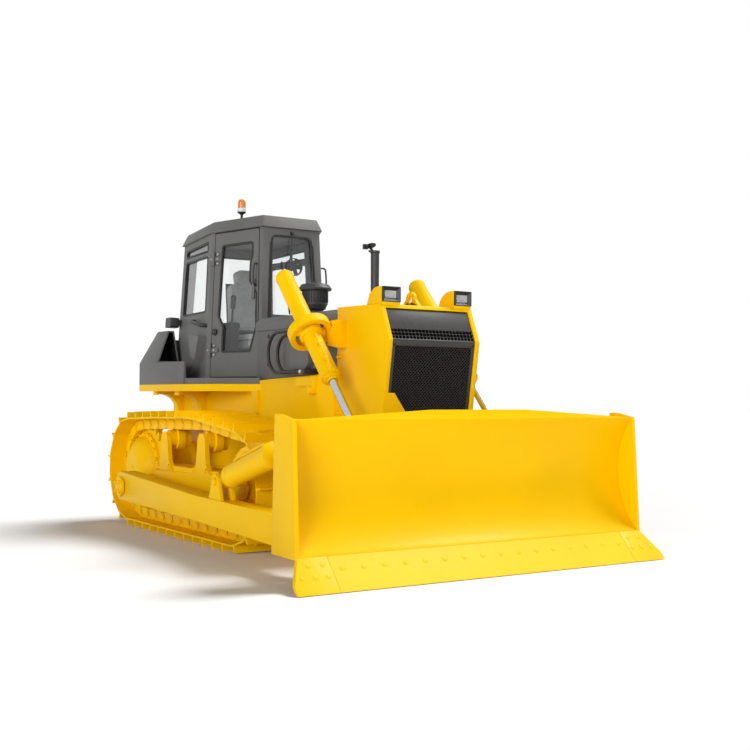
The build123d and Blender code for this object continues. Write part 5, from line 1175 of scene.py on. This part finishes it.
def stuffed(name, node, cap):
    """A padded piece over a plain soft solid: remeshed, blown up as cloth and limited in its swell."""
    piece = add_object(name, frame["nodes"][node].data.copy())
    tidy_mesh(piece)
    centre = sum((vertex.co for vertex in piece.data.vertices), Vector()) / len(piece.data.vertices)
    for vertex in piece.data.vertices:
        vertex.co = centre + (vertex.co - centre) * 0.93
    only(piece)
    piece.data.remesh_voxel_size = 0.008
    bpy.ops.object.voxel_remesh()
    before = [vertex.co.copy() for vertex in piece.data.vertices]
    cloth = piece.modifiers.new("stuffing", "CLOTH")
    cloth.settings.use_pressure = True
    cloth.settings.uniform_pressure_force = 4.0
    cloth.settings.effector_weights.gravity = 0.0
    for step in range(1, 21):
        bpy.context.scene.frame_set(step)
    only(piece)
    bpy.ops.object.modifier_apply(modifier="stuffing")
    bpy.context.scene.frame_set(1)
    for vertex, start in zip(piece.data.vertices, before):
        moved = vertex.co - start
        if moved.length > cap:
            vertex.co = start + moved * (cap / moved.length)
    return piece


class DOZER_OT_seat(bpy.types.Operator):
    """Stuffs the seat's cushion and back and pipes the cushion's seam"""

    bl_idname = "dozer.seat"
    bl_label = "Seat"

    def execute(self, context):
        for name, node in (("cushion_cover", "seat_cushion"), ("backrest_cover", "seat_backrest")):
            piece = stuffed(name, node, 0.016)
            modify(piece, "SUBSURF", "soft", live=True, levels=1, render_levels=1)
            put_in(piece, "seat_cover", smooth=80)
            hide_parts(node)
        low, high = (Vector(corner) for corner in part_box("seat_cushion"))
        z = (low.z + high.z) / 2 + 0.02
        inset = 0.010
        corners = [(low.x + inset, low.y + inset), (high.x - inset, low.y + inset),
                   (high.x - inset, high.y - inset), (low.x + inset, high.y - inset)]
        loop = []
        for (ax, ay), (bx, by) in zip(corners, corners[1:] + corners[:1]):
            for share in (0.12, 0.5, 0.88):
                loop.append((ax + (bx - ax) * share, ay + (by - ay) * share, z))
        piping = tube(loop, 0.005, closed=True)
        piping.name = "cushion_piping"
        put_in(piping, "rubber")
        return {"FINISHED"}


class DOZER_OT_controls(bpy.types.Operator):
    """Adds the dials, pedals, fan and lever knobs in the cab"""

    bl_idname = "dozer.controls"
    bl_label = "Controls"

    def execute(self, context):
        face_x = AXLE_X + 1.130
        tilt = Vector((-0.985, 0, 0.17))
        rims, faces, hands = [], [], []
        for step, y in enumerate((-0.17, -0.06, 0.06, 0.17)):
            place = Vector((face_x - 0.006, y, CAB_FLOOR + 0.46))
            rims.append(lathe([(0.036, -0.004), (0.042, 0.002), (0.044, 0.008), (0.038, 0.011),
                               (0.036, 0.006)], place, tilt, 28))
            faces.append(lathe([(0, 0.004), (0.037, 0.004), (0.037, -0.003)], place, tilt, 28))
            hand = slab((-0.0016, -0.004, 0.0045), (0.0016, 0.028, 0.0065), 0.0005)
            hand.matrix_world = stand(place, tilt, 0.6 * step)
            hands.append(settle(hand))
        put_in(join("dial_rims", rims), "black_paint")
        put_in(join("dial_faces", faces), "white_plastic")
        put_in(join("dial_hands", hands), "amber")

        pedals = []
        for y in (-0.13, 0.13):
            pad = slab((-0.045, -0.055, -0.006), (0.045, 0.055, 0.006), 0.004)
            tread = Matrix.Translation((AXLE_X + 1.060, y, CAB_FLOOR + 0.135))
            pad.matrix_world = tread @ Matrix.Rotation(0.7, 4, "Y")
            pedals.append(settle(pad))
            pedals.append(tube([(AXLE_X + 1.067, y, CAB_FLOOR + 0.125),
                                (AXLE_X + 1.105, y, CAB_FLOOR + 0.080),
                                (AXLE_X + 1.142, y, CAB_FLOOR + 0.060)], 0.008))
        put_in(join("pedals", pedals), "rubber")

        hub = Vector((AXLE_X + 1.130, 0.090, 2.585))
        fan = [lathe([(0.082, -0.022), (0.088, -0.018), (0.088, 0.018), (0.082, 0.022)], hub, (1, 0, 0), 36),
               lathe([(0, 0.030), (0.020, 0.026), (0.026, 0.012), (0.026, -0.030), (0, -0.036)], hub,
                     (1, 0, 0), 24)]
        blade = slab((-0.004, 0.018, -0.020), (0.004, 0.078, 0.020), 0.003)
        turns = [turn @ Matrix.Rotation(0.5, 4, "Y") for turn in round_about(hub, "X", 5)]
        fan.append(spread(blade, "fan_blades", turns))
        drop(blade)
        fan.append(tube([hub + Vector((-0.030, 0, 0)), hub + Vector((-0.050, 0, 0.060)),
                         hub + Vector((-0.050, 0, 0.200)), hub + Vector((-0.040, 0, 0.345))], 0.009))
        put_in(join("cab_fan", fan), "plastic")

        knobs = []
        for y in (-0.36, 0.36):
            x, z = AXLE_X + 0.706, CAB_FLOOR + 0.795
            knobs.append(lathe([(0, 0.040), (0.018, 0.037), (0.028, 0.024), (0.030, 0.008), (0.026, -0.004),
                                (0.024, -0.012)], (x, y, z), (0.14, 0, 0.99), 24))
        put_in(join("lever_knobs", knobs), "plastic")
        return {"FINISHED"}


class DOZER_OT_cylinder_lines(bpy.types.Operator):
    """Sleeves the lift barrels, runs their pipes, dresses the tilt cylinder and caps the blade's pins"""

    bl_idname = "dozer.cylinder_lines"
    bl_label = "Cylinder lines"

    def execute(self, context):
        run = Vector((ROD_EYE[0] - LIFT_PIN[0], 0, ROD_EYE[1] - LIFT_PIN[1]))
        along = run.normalized()
        above = Vector((-along.z, 0, along.x))
        pin = Vector((LIFT_PIN[0], -LIFT_Y, LIFT_PIN[1]))

        def at(distance, lift, aside=0.0):
            return pin + along * distance + above * lift + Vector((0, aside, 0))

        sleeve = lathe([(0.050, -0.690), (0.066, -0.686), (0.078, -0.672), (0.080, -0.650), (0.076, -0.640),
                        (0.076, -0.110), (0.098, -0.095), (0.100, -0.085), (0.100, 0.050), (0.094, 0.060),
                        (0.076, 0.066), (0.076, 0.470), (0.082, 0.476), (0.082, 0.512), (0.066, 0.516),
                        (0.050, 0.516)], at(0, 0), along, 44)
        trunnions = [lathe([(0.040, 0.080), (0.040, 0.128), (0.036, 0.133), (0, 0.133)], at(0, 0),
                           (0, face, 0), 28)
                     for face in (-1, 1)]
        line = tube([at(0.105, 0.060, -0.020), at(0.105, 0.094, -0.034), at(0.150, 0.096, -0.036),
                     at(0.300, 0.096, -0.036), at(0.430, 0.096, -0.036), at(0.490, 0.092, -0.030),
                     at(0.490, 0.060, -0.020)], 0.011)
        clips = []
        turn = axes(Vector((0, 1, 0)), above, Vector((0, 1, 0)).cross(above))
        for distance in (0.210, 0.380):
            block = slab((-0.020, -0.018, -0.012), (0.020, 0.020, 0.012), 0.003)
            block.matrix_world = Matrix.Translation(at(distance, 0.088, -0.034)) @ turn
            clips.append(settle(block))
        gland = lathe([(0.034, -0.006), (0.066, -0.006), (0.070, 0.002), (0.070, 0.018), (0.060, 0.024),
                       (0.044, 0.026), (0.040, 0.034), (0.034, 0.036)], at(0.516, 0), along, 36)
        crown = lathe([(0, -0.712), (0.034, -0.709), (0.056, -0.700), (0.066, -0.686)], at(0, 0), along, 36)
        piece = join("lift_lines_right", [sleeve, *trunnions, line, *clips, gland, crown])
        put_pair(piece, "yellow_paint", "right_lift_barrel", smooth=40)

        # Gland, nose and line of the tilt cylinder
        low = Vector((STRUT_LOW[0], -STRUT_Y, STRUT_LOW[1]))
        strut = Vector((STRUT_HIGH[0], -STRUT_Y, STRUT_HIGH[1])) - low
        way = strut.normalized()
        over = Vector((-way.z, 0, way.x))
        fittings = [
            lathe([(0.036, -0.075), (0.050, -0.070), (0.060, -0.030), (0.094, -0.006), (0.099, 0.004),
                   (0.099, 0.040), (0.093, 0.046)], low + strut * 0.14, way, 44),
            lathe([(0.100, -0.010), (0.104, -0.006), (0.104, 0.040), (0.080, 0.058), (0.050, 0.064),
                   (0.036, 0.070)], low + strut * 0.665, way, 44),
            tube([low + strut * share + over * rise for share, rise in
                  ((0.19, 0.080), (0.19, 0.112), (0.22, 0.116), (0.40, 0.112), (0.56, 0.116), (0.60, 0.112),
                   (0.60, 0.080))], 0.012),
        ]
        put_in(join("tilt_fittings", fittings), "yellow_paint", "blade", smooth=40)

        # Caps on the pins of the rod eyes, the struts and the push arms
        caps = []
        for y in (-LIFT_Y, LIFT_Y):
            for face in (-1, 1):
                caps.append(lathe([(0, 0.016), (0.026, 0.016), (0.032, 0.010), (0.034, 0.0)],
                                  (ROD_EYE[0], y + face * 0.076, ROD_EYE[1]), (0, face, 0), 28))
        for y in (-STRUT_Y, STRUT_Y):
            for x, z in (STRUT_HIGH, STRUT_LOW):
                for face in (-1, 1):
                    caps.append(lathe([(0, 0.014), (0.020, 0.014), (0.027, 0.008), (0.030, -0.002)],
                                      (x, y + face * 0.078, z), (0, face, 0), 24))
            for face in (-1, 1):
                caps.append(lathe([(0, 0.014), (0.034, 0.014), (0.043, 0.006), (0.047, -0.004)],
                                  (ARM_EYE[0], y + face * 0.130, ARM_EYE[1]), (0, face, 0), 28))
        put_in(join("pin_caps", caps), "yellow_paint", "blade")
        return {"FINISHED"}


class DOZER_OT_rear(bpy.types.Operator):
    """Finishes the tank's cap and the hitch pin"""

    bl_idname = "dozer.rear"
    bl_label = "Rear"

    def execute(self, context):
        cap = lathe([(0, 0.058), (0.030, 0.057), (0.050, 0.052), (0.060, 0.042), (0.062, 0.010),
                     (0.060, 0.0)], TANK_CAP, steps=36)
        grip = slab((-0.004, 0.056, 0.008), (0.004, 0.067, 0.042), 0.002)
        ring = spread(grip, "grips", round_about(TANK_CAP, "Z", 18))
        drop(grip)
        put_in(join("tank_cap", [cap, ring]), "black_paint")

        pin = lathe([(0, -0.085), (0.020, -0.085), (0.0245, -0.078), (0.0245, 0.040), (0.036, 0.040),
                     (0.038, 0.044), (0.038, 0.054), (0.034, 0.060), (0, 0.060)], HITCH_PIN, steps=32)
        loop = tube([(HITCH_PIN[0] + 0.020 * cos(step), 0.040 * sin(step), 0.790 + 0.026 * cos(step))
                     for step in (pi, 1.3 * pi, 1.6 * pi, 2 * pi, 2.4 * pi, 2.7 * pi)], 0.007, closed=True)
        put_in(join("hitch_pin", [pin, loop]), "steel")
        return {"FINISHED"}


class DOZER_OT_stage(bpy.types.Operator):
    """Sets the pale floor, the white surround and the soft light"""

    bl_idname = "dozer.stage"
    bl_label = "Stage"

    def execute(self, context):
        bpy.ops.mesh.primitive_plane_add(size=400, location=(0, 0, 0))
        floor = context.object
        floor.name = "floor"
        material = bpy.data.materials.new("floor")
        material.use_nodes = True
        tree = material.node_tree
        principled = tree.nodes["Principled BSDF"]
        fill(principled, Base_Color=(0.90, 0.90, 0.90, 1), Roughness=1.0, Specular_IOR_Level=0.0,
             Emission_Color=(1, 1, 1, 1))
        path = add_node(tree, "ShaderNodeLightPath")
        glow = add_node(tree, "ShaderNodeMath", operation="MULTIPLY")
        glow.inputs[1].default_value = FLOOR_GLOW
        seen = add_node(tree, "ShaderNodeMath", operation="MAXIMUM")
        link(tree, path, "Is Camera Ray", seen, 0)
        link(tree, path, "Is Transmission Ray", seen, 1)
        link(tree, seen, 0, glow, 0)
        link(tree, glow, 0, principled, "Emission Strength")
        floor.data.materials.append(material)

        world = bpy.data.worlds.new("studio")
        context.scene.world = world
        world.use_nodes = True
        tree = world.node_tree
        background = tree.nodes["Background"]
        fill(background, Color=(1, 1, 1, 1))
        path = add_node(tree, "ShaderNodeLightPath")
        seen = add_node(tree, "ShaderNodeMath", operation="MAXIMUM")
        through = add_node(tree, "ShaderNodeMath", operation="MAXIMUM")
        level = add_node(tree, "ShaderNodeMapRange")
        link(tree, path, "Is Camera Ray", seen, 0)
        link(tree, path, "Is Glossy Ray", seen, 1)
        link(tree, seen, 0, through, 0)
        link(tree, path, "Is Transmission Ray", through, 1)
        link(tree, through, 0, level, "Value")
        fill(level, To_Min=ROOM_LIGHT, To_Max=ROOM_SEEN)
        link(tree, level, "Result", background, "Strength")

        for name, aim, strength, spread_angle in (("overhead", (0.06, 0.54, 0.84), 3.15, 22),
                                                  ("side", (0.52, -0.84, 0.18), 1.8, 30),
                                                  ("front", (0.95, -0.10, 0.15), 0.55, 40)):
            bpy.ops.object.light_add(type="SUN", location=(0, 0, 6))
            lamp = context.object
            lamp.name = name
            lamp.data.energy = strength
            lamp.data.angle = radians(spread_angle)
            lamp.rotation_euler = Vector(aim).to_track_quat("Z", "Y").to_euler()
        context.scene.view_settings.view_transform = "Standard"
        return {"FINISHED"}


OPERATORS = (
    DOZER_OT_camera, DOZER_OT_materials, DOZER_OT_hoses, DOZER_OT_finishes, DOZER_OT_track_hardware,
    DOZER_OT_fasteners, DOZER_OT_grille, DOZER_OT_lamps, DOZER_OT_window_seals, DOZER_OT_fender_boxes,
    DOZER_OT_cab_fittings, DOZER_OT_stacks, DOZER_OT_seat, DOZER_OT_controls, DOZER_OT_cylinder_lines,
    DOZER_OT_rear, DOZER_OT_stage,
)


class DOZER_PT_panel(bpy.types.Panel):
    """Lists the dressing's steps and settings"""

    bl_idname = "DOZER_PT_panel"
    bl_label = "Bulldozer"
    bl_space_type = "VIEW_3D"
    bl_region_type = "UI"
    bl_category = "Bulldozer"

    def draw(self, context):
        own = settings()
        for key in ("yellow", "grey", "black", "cover", "bolt", "seal", "hose"):
            self.layout.prop(own, key)
        for kind in OPERATORS:
            self.layout.operator(kind.bl_idname)


CLASSES = (DozerSettings, *OPERATORS, DOZER_PT_panel)


def register():
    """Registers the add-on's classes and settings."""
    for kind in CLASSES:
        bpy.utils.register_class(kind)
    bpy.types.Scene.dozer = bpy.props.PointerProperty(type=DozerSettings)


def unregister():
    """Removes the add-on's classes and settings."""
    del bpy.types.Scene.dozer
    for kind in reversed(CLASSES):
        bpy.utils.unregister_class(kind)


def main():
    """Dresses the machine in order."""
    register()
    for kind in OPERATORS:
        group, step = kind.bl_idname.split(".")
        getattr(getattr(bpy.ops, group), step)()


if __name__ == "__main__":
    main()
